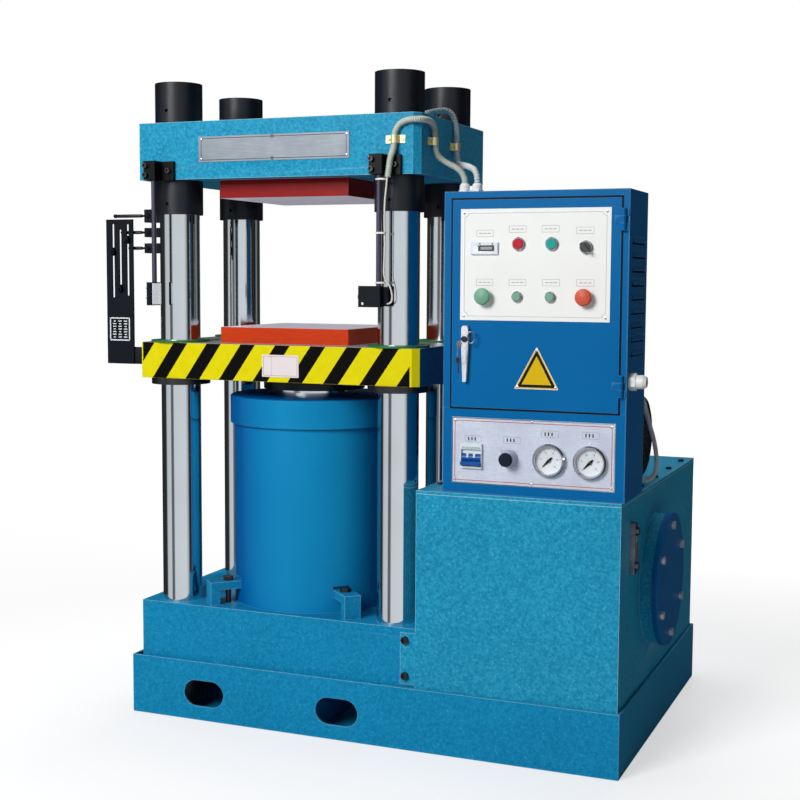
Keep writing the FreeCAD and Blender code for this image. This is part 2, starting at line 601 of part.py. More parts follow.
# ---------------------------------------------------------------- oil tank
def cover_spots():
    """Where the cleaning cover's six bolts stand, as formulas for Y and Z."""
    spots = []
    for number in range(6):
        angle = math.radians(30 + 60 * number)
        spots.append((f"cover_along + cover_circle / 2 * {math.cos(angle):.9f}",
                      f"cover_level + cover_circle / 2 * {math.sin(angle):.9f}"))
    return spots


def lid_spots():
    """Where the lid's screws stand, as formulas for X and Y; one more stands to the left of the cabinet."""
    spots = [(along, f"lid_screw_first + lid_screw_pitch * {step}")
             for along in ("bolster_right + lid_screw_in", "tank_right - lid_screw_in") for step in range(4)]
    return spots + [("bolster_right + lid_screw_in", "lid_screw_first - lid_screw_pitch")]


def make_tank():
    """The welded tank with its neck and screw flange, the lid, the cleaning cover and the level gauge."""
    outside = block("tank_outside", ("bolster_right", "0 - tank_front", "bolster_bottom"),
                    ("tank_width", "tank_front + tank_back", "tank_height"))
    tab = block("tank_tab", ("bolster_right - tab_reach", "0 - tank_front", "tab_low"),
                ("tab_reach", "tab_thick", "tab_high - tab_low"))
    neck = drum("tank_neck", ("tank_right - tank_wall", "cover_along", "cover_level"), "neck_diameter / 2",
                "cover_neck + tank_wall", "x")
    inside = block("tank_inside", ("bolster_right + tank_wall", "tank_wall - tank_front",
                                   "bolster_bottom + tank_wall"),
                   ("tank_width - 2 * tank_wall", "tank_front + tank_back - 2 * tank_wall",
                    "tank_height - tank_wall - lid_thick"))
    hatch = block("tank_hatch", ("bolster_right + tank_lip", "tank_lip - tank_front",
                                 "lid_bottom - lid_thick * 2"),
                  ("tank_width - 2 * tank_lip", "tank_front + tank_back - 2 * tank_lip", "lid_thick * 3"))
    mouth = drum("tank_mouth", ("tank_right - tank_wall * 3", "cover_along", "cover_level"), "neck_bore / 2",
                 "cover_neck + tank_wall * 4", "x")
    holes = []
    for number, (back, level) in enumerate(cover_spots()):
        deep = "tank_right + cover_neck - cover_thread_in - 2"
        holes.append(drum(f"neck_hole_{number}", (deep, back, level), "cover_thread + 0.2", "cover_thread_in + 4", "x"))
    for number, (along, back) in enumerate(lid_spots()):
        holes.append(drum(f"rim_hole_{number}", (along, back, "lid_bottom - lid_thick * 2"),
                          "lid_thread + 0.2", "lid_thick * 3"))
    for number, level in enumerate(TAB_LEVELS):
        holes.append(drum(f"tab_hole_{number}", ("bolster_right - tab_screw", "0 - tank_front - 1", level),
                          "tab_thread + soft_clearance", "tab_thick + 2", "y"))
    keep(cut("tank", fuse("tank_solid", [outside, tab, neck]), [inside, hatch, mouth] + holes), "tank_shell")

    plate = block("lid_plate", ("bolster_right", "0 - tank_front", "lid_bottom"),
                  ("tank_width", "tank_front + tank_back", "lid_thick"))
    holes = [drum(f"lid_hole_{number}", (along, back, "lid_bottom - 1"), "lid_thread + 0.7", "lid_thick + 2")
             for number, (along, back) in enumerate(lid_spots())]
    holes.append(drum("suction_hole", (SUCTION, "motor_back", "lid_bottom - 1"), "pipe_diameter / 2 + 0.5",
                      "lid_thick + 2"))
    keep(cut("lid", plate, holes), "tank_lid")

    disc = turned("cover_disc", [
        ("0", "0"), ("cover_diameter / 2", "0"), ("cover_diameter / 2", "cover_thick - 2"),
        ("cover_diameter / 2 - 2", "cover_thick"), ("0", "cover_thick")],
        ("tank_right + cover_neck", "cover_along", "cover_level"), "x")
    holes = [drum(f"cover_hole_{number}", ("tank_right + cover_neck - 1", back, level), "cover_thread + 0.7",
                  "cover_thick + 2", "x") for number, (back, level) in enumerate(cover_spots())]
    keep(cut("cover", disc, holes), "cleaning_cover")

    low = "gauge_low"
    back = "gauge_along - gauge_width / 2"
    body = block("gauge_body", ("tank_right", back, low), ("gauge_thick", "gauge_width", "gauge_length"))
    window = block("gauge_window", ("tank_right + gauge_thick - 3", f"{back} + gauge_border",
                                    f"{low} + gauge_head + 13"),
                   ("6", "gauge_width - 2 * gauge_border", "gauge_length - 2 * gauge_head - 26"))
    ends = {"low": f"{low} + gauge_head", "high": f"{low} + gauge_length - gauge_head"}
    heads = [hexagon(f"gauge_head_{end}", ("tank_right + gauge_thick", "gauge_along", level), "9", "7", "x")
             for end, level in ends.items()]
    keep(fuse("gauge", [cut("gauge_cut", body, [window])] + heads), "level_gauge")


def make_screws(screws):
    """All the hexagon and socket screws of the frame and tank, with those already made, as one set."""
    for number, (back, level) in enumerate(cover_spots()):
        face = "tank_right + cover_neck + cover_thick"
        shank = drum(f"cover_shank_{number}", ("tank_right + cover_neck - cover_thread_in", back, level),
                     "cover_thread", "cover_thick + cover_thread_in", "x")
        head = hexagon(f"cover_head_{number}", (face, back, level), "10.5", "8", "x")
        screws.append(fuse(f"cover_screw_{number}", [shank, head]))
    for number, (along, back) in enumerate(lid_spots()):
        shank = drum(f"lid_shank_{number}", (along, back, "lid_bottom - lid_thick"), "lid_thread",
                     "lid_thick * 2")
        head = hexagon(f"lid_head_{number}", (along, back, "lid_top"), "7.5", "5.5")
        screws.append(fuse(f"lid_screw_{number}", [shank, head]))
    for number, level in enumerate(TAB_LEVELS):
        at = ("bolster_right - tab_screw", "0 - tank_front", level)
        shank = drum(f"tab_shank_{number}", at, "tab_thread", "tab_thick + screw_depth", "y")
        head = drum(f"tab_head_{number}", at, "tab_thread * 1.5", "tab_thread * 1.7", "-y")
        socket = hexagon(f"tab_socket_{number}", (at[0], "0 - tank_front - tab_thread * 0.8", level),
                         "tab_thread", "tab_thread", "-y")
        screws.append(cut(f"tab_screw_{number}", fuse(f"tab_solid_{number}", [shank, head]), [socket]))
    keep(group("screws_group", screws), "screws")


# ---------------------------------------------------------------- pump set
MOTOR_LEFT = "(motor_right - motor_length)"
SUCTION = "(motor_right - motor_length - pump_length + 30)"
PUMP_OUT = "(motor_right - motor_length - 77)"


def make_pump_set():
    """Foot mounted motor, the pump on its flange, the suction pipe and the valve block."""
    radius = "motor_diameter / 2"
    axis = ("motor_back", "motor_level")
    barrel = drum("motor_barrel", (f"{MOTOR_LEFT} + flange_thick", *axis), radius + " - 8",
                  "motor_length - flange_thick - cowl_long", "x")
    cowl = turned("motor_cowl", [
        ("0", "0"), (radius, "0"), (radius, "cowl_long - 14"), (radius + " - 14", "cowl_long"),
        ("0", "cowl_long")], ("motor_right - cowl_long", *axis), "x")
    flange = drum("motor_flange", (MOTOR_LEFT, *axis), radius + " - 4", "flange_thick", "x")
    foot = block("motor_foot", (f"{MOTOR_LEFT} + 50", "motor_back - 95", "lid_top"), ("150", "190", "12"))
    stand = block("motor_stand", (f"{MOTOR_LEFT} + 60", "motor_back - 50", "lid_top + 6"),
                  ("130", "100", "40"))
    terminal = block("motor_terminal",
                     (f"{MOTOR_LEFT} + 70", "motor_back - 45", f"motor_level + {radius} - 16"),
                     ("100", "90", "54"))
    fins = []
    for number in range(24):
        near = f"{MOTOR_LEFT} + flange_thick + 8"
        fin = block(f"motor_fin_{number}", (near, "0", "0"),
                    ("motor_length - flange_thick - cowl_long - 18", "fin_height", "fin_thick"))
        angle = math.radians(15 * number)
        fin.Placement = Placement(Vector(), Rotation(Vector(1, 0, 0), 15 * number))
        reach = "(motor_diameter / 2 - fin_height - 3)"
        put(fin, (near,
                  f"motor_back + {reach} * {math.cos(angle):.9f} + fin_thick / 2 * {math.sin(angle):.9f}",
                  f"motor_level + {reach} * {math.sin(angle):.9f} - fin_thick / 2 * {math.cos(angle):.9f}"))
        fins.append(fin)
    inlet = drum("motor_gland_hole", (f"{MOTOR_LEFT} + 171", "motor_back", "motor_inlet"), "8", "12", "-x")
    keep(cut("motor_cut", fuse("motor_solid", [barrel, cowl, flange, foot, stand, terminal] + fins), [inlet]),
         "motor")

    bell = drum("pump_bell", (MOTOR_LEFT, *axis), "62", "44", "-x")
    housing = drum("pump_housing", (f"{MOTOR_LEFT} - 44", *axis), "48", "pump_length - 44", "-x")
    port = drum("pump_inlet", (SUCTION, "motor_back", "motor_level - pump_drop"), "pump_port", "40")
    outlet = drum("pump_outlet", (PUMP_OUT, "motor_back", "motor_level"), "pump_port", "pump_drop", "y")
    keep(fuse("pump_solid", [bell, housing, port, outlet]), "pump")

    pipe = drum("suction_tube", (SUCTION, "motor_back", "bolster_bottom + 90"), "pipe_diameter / 2",
                "motor_level - pump_drop - bolster_bottom - 90")
    strainer = drum("suction_strainer", (SUCTION, "motor_back", "bolster_bottom + 30"), "34", "90")
    suction = fuse("suction", [pipe, strainer])

    body = block("valve_body", ("valve_left", "valve_front", "lid_top"),
                 ("valve_width", "valve_depth", "valve_height"))
    spool = block("valve_spool", ("valve_left + 25", "valve_front + 25", "lid_top + valve_height"),
                  ("valve_width - 50", "valve_depth - 50", "46"))
    axis = ("valve_front + valve_depth / 2", "lid_top + valve_height + 23")
    coils = [drum("valve_coil_left", ("valve_left + 25", *axis), "21", "52", "-x"),
             drum("valve_coil_right", ("valve_left + valve_width - 25", *axis), "21", "52", "x")]
    keep(fuse("valves", [body, spool] + coils), "valve_block")
    return suction


# ---------------------------------------------------------------- cabinet
def make_cabinet():
    """The cabinet's welded sheets with louvres, its hinged door and the lower instrument strip."""
    front = "0 - cabinet_front"
    width, depth = "cabinet_width - 2 * sheet", "cabinet_depth - sheet"
    way_left, way_right = "(door_left - door_gap)", "(door_left + door_width + door_gap)"
    way_low, way_high = "(door_low - door_gap)", "(door_low + door_height + door_gap)"
    beside = f"cabinet_top - sheet - {way_low}"
    sheets = {
        "left": block("sheet_left", ("cabinet_left", front, "lid_top"), ("sheet", depth, "cabinet_height")),
        "right": block("sheet_right", ("cabinet_right - sheet", front, "lid_top"),
                       ("sheet", depth, "cabinet_height")),
        "rear": block("sheet_rear", ("cabinet_left", "cabinet_back - sheet", "lid_top"),
                      ("cabinet_width", "sheet", "cabinet_height")),
        "floor": block("sheet_floor", ("cabinet_left + sheet", front, "lid_top"), (width, depth, "sheet")),
        "roof": block("sheet_roof", ("cabinet_left + sheet", front, "cabinet_top - sheet"),
                      (width, depth, "sheet")),
        "apron": block("sheet_apron", ("cabinet_left + sheet", front, "lid_top + sheet"),
                       (width, "sheet", f"{way_low} - lid_top - sheet")),
        "post_left": block("sheet_post_left", ("cabinet_left + sheet", front, way_low),
                           (f"{way_left} - cabinet_left - sheet", "sheet", beside)),
        "post_right": block("sheet_post_right", (way_right, front, way_low),
                            (f"cabinet_right - sheet - {way_right}", "sheet", beside)),
        "lintel": block("sheet_lintel", (way_left, front, way_high),
                        (f"{way_right} - {way_left}", "sheet", f"cabinet_top - sheet - {way_high}")),
    }
    breaker = block("breaker_hole", ("breaker_left + breaker_lip", "0 - cabinet_front - 1",
                                     "breaker_low + breaker_lip"),
                    ("breaker_width - 2 * breaker_lip", "sheet + 2", "breaker_height - 2 * breaker_lip"))
    knob = drum("knob_hole", ("knob_along", "0 - cabinet_front - 1", "knob_level"), "knob_shaft + 0.5",
                "sheet + 2", "y")
    dials = [drum(f"dial_hole_{side}", (along, "0 - cabinet_front - 1", "dial_level"), "dial_bore / 2 + 0.5",
                  "sheet + 2", "y") for side, along in (("left", "dial_left"), ("right", "dial_right"))]
    tops = [drum(f"gland_hole_{number}", (along, "gland_back", "cabinet_top - sheet - 1"), GLAND_HOLE,
                 "sheet + 2") for number, along in enumerate(GLANDS)]
    side = drum("side_hole", ("cabinet_right - sheet - 1", MAIN_GLAND[0], MAIN_GLAND[1]),
                "main_gland_tail + soft_clearance", "sheet + 2", "x")
    rear = drum("rear_hole", (REAR_GLAND[0], "cabinet_back - sheet - 1", REAR_GLAND[1]), GLAND_HOLE,
                "sheet + 2", "y")
    slots, hoods = [], []
    for number in range(LOUVRES):
        level = f"lid_top + louvre_rise + louvre_pitch * {number}"
        slots.append(block(f"louvre_slot_{number}", ("cabinet_right - sheet - 1",
                                                     "louvre_front - cabinet_front", level),
                           ("sheet + 2", "louvre_long", "louvre_slot")))
        hood = doc.addObject("Part::Wedge", f"louvre_hood_{number}")
        for prop, text in (("Xmin", "0"), ("Xmax", "louvre_out"), ("X2min", "0"), ("X2max", "0.6"),
                           ("Ymin", "0"), ("Ymax", "louvre_tall"), ("Zmin", "0"), ("Zmax", "louvre_long"),
                           ("Z2min", "6"), ("Z2max", "louvre_long - 6")):
            hood.setExpression(prop, formula(text))
        hoods.append(put(hood, ("cabinet_right", "louvre_front - cabinet_front + louvre_long",
                                level + " + louvre_slot - 1"), Rotation(Vector(1, 0, 0), 90)))
    sheets["apron"] = cut("apron_pierced", sheets["apron"], [breaker, knob] + dials)
    sheets["roof"] = cut("roof_pierced", sheets["roof"], tops)
    sheets["rear"] = cut("rear_pierced", sheets["rear"], [rear])
    sheets["right"] = cut("right_pierced", fuse("right_hooded", [sheets["right"]] + hoods), [side] + slots)
    keep(group("sheets", list(sheets.values())), "cabinet_shell")

    pan = block("door_pan", ("door_left", "door_face", "door_low"),
                ("door_width", "door_depth", "door_height"))
    hollow = block("door_hollow", ("door_left + sheet", "door_face + sheet", "door_low + sheet"),
                   ("door_width - 2 * sheet", "door_depth", "door_height - 2 * sheet"))
    holes = [drum(f"door_hole_{name}", (along, "door_face - 1", level), "device_hole", "sheet + 2", "y")
             for name, along, level, wide, kind in BUTTONS + SELECTOR]
    holes.append(drum("door_hole_lock", ("lock_along", "door_face - 1", "lock_level"),
                      "lock_pin + soft_clearance", "sheet + 2", "y"))
    holes.append(block("door_hole_counter", (COUNTER_HOLE[0][0], "door_face - 1", COUNTER_HOLE[0][1]),
                       ("counter_width - 4", "sheet + 2", "counter_height - 4")))
    straps, knuckles, bores = [], [], []
    for name, level in HINGES:
        straps.append(block(f"strap_{name}", ("hinge_along - 20", "door_face - leaf_thick",
                                              f"{level} - knuckle / 2"), ("18", "leaf_thick", "knuckle")))
        knuckles.append(drum(f"knuckle_{name}", ("hinge_along", "hinge_face", f"{level} - knuckle / 2"),
                             "hinge_radius", "knuckle"))
        bores.append(drum(f"bore_{name}", ("hinge_along", "hinge_face", f"{level} - knuckle / 2 - 1"),
                          "hinge_pin / 2 + run_clearance", "knuckle + 2"))
    plain = cut("door_plain", pan, [hollow] + holes)
    keep(cut("door", fuse("door_hung", [plain] + straps + knuckles), bores), "cabinet_door")

    hinges = []
    for name, level in HINGES:
        parts = [drum(f"hinge_pin_{name}", ("hinge_along", "hinge_face", f"{level} - knuckle * 1.5"),
                      "hinge_pin / 2", "knuckle * 3")]
        ends = {"low": f"{level} - knuckle * 1.5", "high": f"{level} + knuckle / 2 + knuckle_play"}
        tall = "knuckle - knuckle_play"
        for end, low in ends.items():
            parts.append(drum(f"hinge_{name}_{end}", ("hinge_along", "hinge_face", low), "hinge_radius", tall))
            parts.append(block(f"hinge_leaf_{name}_{end}",
                               ("hinge_along", "0 - cabinet_front - leaf_thick", low),
                               ("10", "leaf_thick", tall)))
        hinges.append(fuse(f"hinge_{name}", parts))
    keep(group("hinges", hinges), "door_hinges")

    panel_low = ("panel_left", "panel_low")
    panel_high = ("panel_left + panel_width", "panel_low + panel_height")
    round_holes = [((along, level), "device_hole") for name, along, level, wide, kind in BUTTONS + SELECTOR]
    slab("control_panel", "XZ_Plane", "0 - door_face", oblong(panel_low, panel_high), "panel_thick",
         round_holes, [oblong(*COUNTER_HOLE)])
    strip_low = ("strip_left", "strip_low")
    strip_high = ("strip_left + strip_width", "strip_low + strip_height")
    breaker_low = ("breaker_left + breaker_lip", "breaker_low + breaker_lip")
    breaker_high = ("breaker_left + breaker_width - breaker_lip",
                    "breaker_low + breaker_height - breaker_lip")
    dial_hole = "dial_bore / 2 + 0.5"
    slab("instrument_strip", "XZ_Plane", "cabinet_front", oblong(strip_low, strip_high), "panel_thick",
         [(("knob_along", "knob_level"), "knob_shaft + 0.5"), (("dial_left", "dial_level"), dial_hole),
          (("dial_right", "dial_level"), dial_hole)], [oblong(breaker_low, breaker_high)])


# ---------------------------------------------------------------- controls
# name, place along, level, bezel's diameter, kind
BUTTONS = [
    ("stop_button", "panel_left + 138", "row_top", "bezel_diameter", "flush"),
    ("start_button", "panel_left + 215", "row_top", "bezel_diameter", "flush"),
    ("close_button", "panel_left + 58", "row_low", "bezel_diameter", "mushroom"),
    ("rise_button", "panel_left + 136", "row_low", "small_bezel", "flush"),
    ("lower_button", "panel_left + 213", "row_low", "small_bezel", "flush"),
    ("open_button", "panel_left + 292", "row_low", "bezel_diameter", "mushroom"),
]
SELECTOR = [("selector", "panel_left + 293", "row_top - selector_drop", "bezel_diameter", "selector")]
COUNTER_HOLE = [("counter_left + 2", "counter_low + 2"),
                ("counter_left + counter_width - 2", "counter_low + counter_height - 2")]
HINGES = [("upper", "hinge_high"), ("lower", "hinge_low")]
LOUVRES = 9
GLANDS = ["cabinet_left + gland_first", "cabinet_left + gland_second"]
GLAND_HOLE = "tail_radius + 0.5"
REAR_GLAND = ("cabinet_right - rear_gland_in", "lid_top + rear_gland_rise")
MAIN_GLAND = ("main_gland_back - cabinet_front", "lid_top + main_gland_rise")


def make_buttons():
    """Bezels with their sleeves, and the caps that travel in them."""
    sleeve = "stem_bore / 2"
    stem = f"{sleeve} - soft_clearance"
    bezels = []
    for name, along, level, wide, kind in BUTTONS + SELECTOR:
        at = (along, "panel_face", level)
        rim = f"{wide} / 2"
        bore = f"{rim} - bezel_lip"
        bezels.append(turned("bezel_" + name, [
            (sleeve, "0 - device_depth"), ("device_radius", "0 - device_depth"), ("device_radius", "0"),
            (rim, "0"), (rim, "bezel_proud - 1.5"), (f"{rim} - 1.5", "bezel_proud"), (bore, "bezel_proud"),
            (bore, "bezel_floor"), (sleeve, "bezel_floor")], at, "-y"))
        cap = f"{bore} - soft_clearance"
        if kind == "flush":
            profile = [("0", "0 - stem_long"), (stem, "0 - stem_long"), (stem, "cap_rest"), (cap, "cap_rest"),
                       (cap, "bezel_proud + 2"), (f"{cap} - 1.2", "bezel_proud + 3"), ("0", "bezel_proud + 3")]
            keep(turned(name, profile, at, "-y"), name)
        elif kind == "mushroom":
            head = "mushroom_diameter / 2"
            profile = [("0", "0 - stem_long"), (stem, "0 - stem_long"), (stem, "mushroom_stand - 2"),
                       (head, "mushroom_stand"), (head, "mushroom_stand + 4"),
                       (f"{head} * 0.85", "mushroom_stand + 8"),
                       (f"{head} * 0.5", "mushroom_stand + 10.5"), ("0", "mushroom_stand + 11.5")]
            keep(turned(name, profile, at, "-y"), name)
        else:
            hub = turned(name + "_hub", [
                ("0", "0 - stem_long"), (stem, "0 - stem_long"), (stem, "bezel_proud - 2"),
                (cap, "bezel_proud - 2"), (cap, "bezel_proud + 3"), ("0", "bezel_proud + 3")], at, "-y")
            lean = math.radians(45)
            grip = block(name + "_grip", ("0", "0", "0"), ("grip_width", "grip_thick", f"2 * ({cap})"))
            grip.Placement = Placement(Vector(), Rotation(Vector(0, 1, 0), -45))
            span = f"({cap})"
            put(grip, (f"{along} - grip_width / 2 * {math.cos(lean):.9f} + {span} * {math.sin(lean):.9f}",
                       "panel_face - bezel_proud - grip_proud",
                       f"{level} - grip_width / 2 * {math.sin(lean):.9f} - {span} * {math.cos(lean):.9f}"))
            keep(fuse(name + "_solid", [hub, grip]), "selector_knob")
    keep(group("bezels", bezels), "button_bezels")

    body = block("counter_body",
                 ("counter_left + counter_lip", "panel_face - 1", "counter_low + counter_lip"),
                 ("counter_width - 2 * counter_lip", "40", "counter_height - 2 * counter_lip"))
    face = block("counter_face", ("counter_left", "panel_face - counter_proud", "counter_low"),
                 ("counter_width", "counter_proud", "counter_height"))
    window = block("counter_window",
                   ("counter_left + 19", "panel_face - counter_proud - 1", "counter_low + 7"),
                   ("counter_width - 27", "3", "counter_height - 14"))
    keep(cut("counter_solid", fuse("counter_blank", [body, face]), [window]), "counter")

    wide, tip = "lock_width / 2", "lock_width / 4"
    arm = flat("lock_arm", "XZ_Plane", "0 - door_face + 3", [
        (f"lock_along - {wide}", "lock_level + lock_up - 6"),
        (f"lock_along - {wide} + 3", "lock_level + lock_up"),
        (f"lock_along + {wide} - 3", "lock_level + lock_up"),
        (f"lock_along + {wide}", "lock_level + lock_up - 6"),
        (f"lock_along + {wide}", "lock_level - 14"), (f"lock_along + {tip}", "lock_level - lock_down"),
        (f"lock_along - {tip}", "lock_level - lock_down"), (f"lock_along - {wide}", "lock_level - 14")],
        "lock_thick")
    pin = drum("lock_pin_bar", ("lock_along", "door_face - 4", "lock_level"), "lock_pin", "30", "y")
    keep(fuse("lock", [arm, pin]), "lock_handle")


def make_instruments():
    """Breaker, pressure regulator's knob and the two pressure gauges on the strip."""
    body = block("breaker_front", ("breaker_left", "strip_face - breaker_proud", "breaker_low"),
                 ("breaker_width", "breaker_proud", "breaker_height"))
    rear = block("breaker_rear", ("breaker_left + 2.5", "strip_face - 1", "breaker_low + 2.5"),
                 ("breaker_width - 5", "60", "breaker_height - 5"))
    well = block("breaker_well", ("breaker_left + 1.5", "strip_face - breaker_proud - 1", "toggle_low - 1"),
                 ("breaker_width - 3", "22", "toggle_height + 19"))
    keep(cut("breaker_solid", fuse("breaker_blank", [body, rear]), [well]), "breaker_body")
    near = "breaker_left + breaker_lip"
    long = "breaker_width - 2 * breaker_lip"
    pivot = (near, "strip_face + 1", "toggle_low + 2 * toggle_radius")
    barrel = drum("toggle_barrel", pivot, "toggle_radius", long, "x")
    blade = block("toggle_blade", (near, "strip_face - breaker_proud - toggle_proud", "toggle_low + 2"),
                  (long, "toggle_proud + breaker_proud", "8"))
    web = block("toggle_web", (near, "strip_face - 4", "toggle_low + 2"), (long, "5", "14"))
    keep(fuse("toggle_solid", [barrel, blade, web]), "breaker_toggle")

    radius = "knob_diameter / 2"
    keep(turned("knob", [
        ("0", "0 - 20"), ("knob_shaft", "0 - 20"), ("knob_shaft", "soft_clearance"),
        (f"{radius} + 3", "soft_clearance"),
        (f"{radius} + 3", "4"), (radius, "9"), (f"{radius} - 2", "knob_proud - 3"),
        (f"{radius} - 4", "knob_proud"), ("0", "knob_proud")],
        ("knob_along", "strip_face", "knob_level"), "-y"), "pressure_knob")

    housings = []
    rim = "dial_diameter / 2"
    bore = "dial_bore / 2"
    for side, along in (("left", "dial_left"), ("right", "dial_right")):
        at = (along, "strip_face", "dial_level")
        housings.append(turned("housing_" + side, [
            ("0", "0 - dial_deep"), (bore, "0 - dial_deep"), (bore, "0"), (rim, "0"), (rim, "dial_proud - 4"),
            (f"{rim} - 3", "dial_proud"), (f"{bore} + 1", "dial_proud"), (bore, "dial_proud - 3"), (bore, "3"),
            ("dial_pin", "3"), ("dial_pin", "7"), ("0", "7")], at, "-y"))
        name = "gauge_pointer_" + side
        pointer = slab(name, "XZ_Plane", "0", [
            ("0 - 1.4", "0 - pointer_tail"), ("1.4", "0 - pointer_tail"), ("3.4", "0"), ("0.4", "pointer_length"),
            ("0 - 0.4", "pointer_length"), ("0 - 3.4", "0")], "pointer_thick",
            [(("0", "0"), "dial_pin + run_clearance")])
        put(pointer, (along, "strip_face - 5", "dial_level"), Rotation(Vector(0, 1, 0), -135))
    keep(group("housings", housings), "pressure_gauges")


# ---------------------------------------------------------------- nameplate and light barrier
def make_nameplate():
    """The bare plate on the crosshead's front."""
    low = ("plate_left", "plate_low")
    high = ("plate_left + plate_width", "plate_low + plate_height")
    slab("nameplate", "XZ_Plane", "head_depth / 2", oblong(low, high), "panel_thick")


def rod_clamp(side, along):
    """A split clamp on the crosshead's front: its foot, its ear round the rod, and its three screws."""
    face = "0 - head_depth / 2"
    low = "rod_high - rod_block"
    foot = block(f"rod_foot_{side}", (f"{along} - ear_left", f"{face} - foot_thick", low),
                 ("ear_left + foot_right", "foot_thick", "rod_block"))
    ear = block(f"rod_ear_{side}", (f"{along} - ear_left", "rod_line - ear_front", low),
                ("ear_left + ear_right", f"{face} - rod_line + ear_front", "rod_block"))
    bore = drum(f"rod_bore_{side}", (along, "rod_line", f"{low} - 1"), "rod_diameter / 2 + run_clearance",
                "rod_block + 2")
    split = block(f"rod_split_{side}", (f"{along} - ear_left - 1", "rod_line - 1", f"{low} - 1"),
                  ("ear_left + 1", "2", "rod_block + 2"))
    reach = f"({face} - rod_line + ear_front)"
    screws = []
    tools = [bore, split]
    spots = [(f"{along} - screw_left", f"{low} + rod_block * {share}", "rod_line - ear_front", reach)
             for share in ("0.25", "0.75")]
    spots.append((f"{along} + foot_right - screw_left", f"{low} + rod_block / 2", f"{face} - foot_thick",
                  "foot_thick + screw_depth"))
    for number, (at, level, front, long) in enumerate(spots):
        name = f"rod_screw_{side}_{number}"
        tools.append(drum(name + "_hole", (at, f"{front} - 1", level), "screw_radius + run_clearance",
                          f"{long} + 1", "y"))
        shank = drum(name + "_shank", (at, front, level), "screw_radius", long, "y")
        head = drum(name + "_head", (at, front, level), "screw_radius * 1.6", "screw_radius * 2", "-y")
        socket = hexagon(name + "_socket", (at, f"{front} - screw_radius", level), "screw_radius",
                         "screw_radius * 2", "-y")
        screws.append(cut(name, fuse(name + "_solid", [shank, head]), [socket]))
    return cut(f"rod_clamp_{side}", fuse(f"rod_clamp_solid_{side}", [foot, ear]), tools), screws


def make_light_barrier():
    """Two rods under the crosshead that carry the photo switch and its reflector."""
    stands, screws = [], []
    for side, along in SENSOR_RODS.items():
        foot = "reflector_top" if side == "left" else "holder_low"
        stands.append(drum(f"rod_{side}", (along, "rod_line", foot), "rod_diameter / 2", f"rod_high - ({foot})"))
        clamp, its_screws = rod_clamp(side, along)
        stands.append(clamp)
        screws += its_screws
    keep(group("stands", stands), "sensor_stands")

    body = block("switch_body", ("rod_right - 41", "rod_line - 24", "holder_low - 2"),
                 ("54", "18", "eye_height + 4"))
    lens = drum("switch_lens", ("rod_right - 40", "rod_line - 15", "holder_low + eye_height / 2 - 0.5"), "7",
                "3", "-x")
    holder = block("switch_holder", ("rod_right - 17", "rod_line - 6", "holder_low"), ("36", "18", "eye_height"))
    bore = drum("switch_bore", ("rod_right", "rod_line", "holder_low - 1"), "rod_diameter / 2 + run_clearance",
                "eye_height + 2")
    eye = cut("photo_eye", fuse("photo_eye_solid", [body, lens, holder]), [bore])

    back = block("reflector_back", ("rod_left - 6", "reflector_front", "reflector_top - reflector_height"),
                 ("12", "reflector_width", "reflector_height"))
    face = block("reflector_face",
                 ("rod_left + 6", "reflector_front + 2", "reflector_top - reflector_height + 2"),
                 ("3", "reflector_width - 4", "reflector_height - 4"))
    middle = "reflector_top - 27"
    stem = drum("wing_stem", ("rod_left - 6", "rod_line - 8", middle), "4", "6", "-x")
    wings = [flat(f"wing_{end}", "XZ_Plane", "6 - rod_line", [
        ("rod_left - 10", f"{middle} {sign} 3"), ("rod_left - 12", f"{middle} {sign} 16"),
        ("rod_left - 19", f"{middle} {sign} 13"), ("rod_left - 15", f"{middle} {sign} 6"),
        ("rod_left - 15", middle), ("rod_left - 10", middle)], "4")
        for end, sign in (("up", "+"), ("down", "-"))]
    keep(group("heads", [eye, fuse("reflector", [back, face]), fuse("wing_screw", [stem] + wings)]),
         "sensor_heads")
    return screws


# ---------------------------------------------------------------- limit switches
# slot's place from the plate's left, its low and high end and its dog's place over the plate's foot,
# how far below the crosshead the switch sits, and the switch's height
LIMITS = [
    ("21", "174", "368", "295", "81", "34"),
    ("43", "190", "353", "198", "124", "24"),
    ("66", "179", "367", "326", "165", "26"),
]


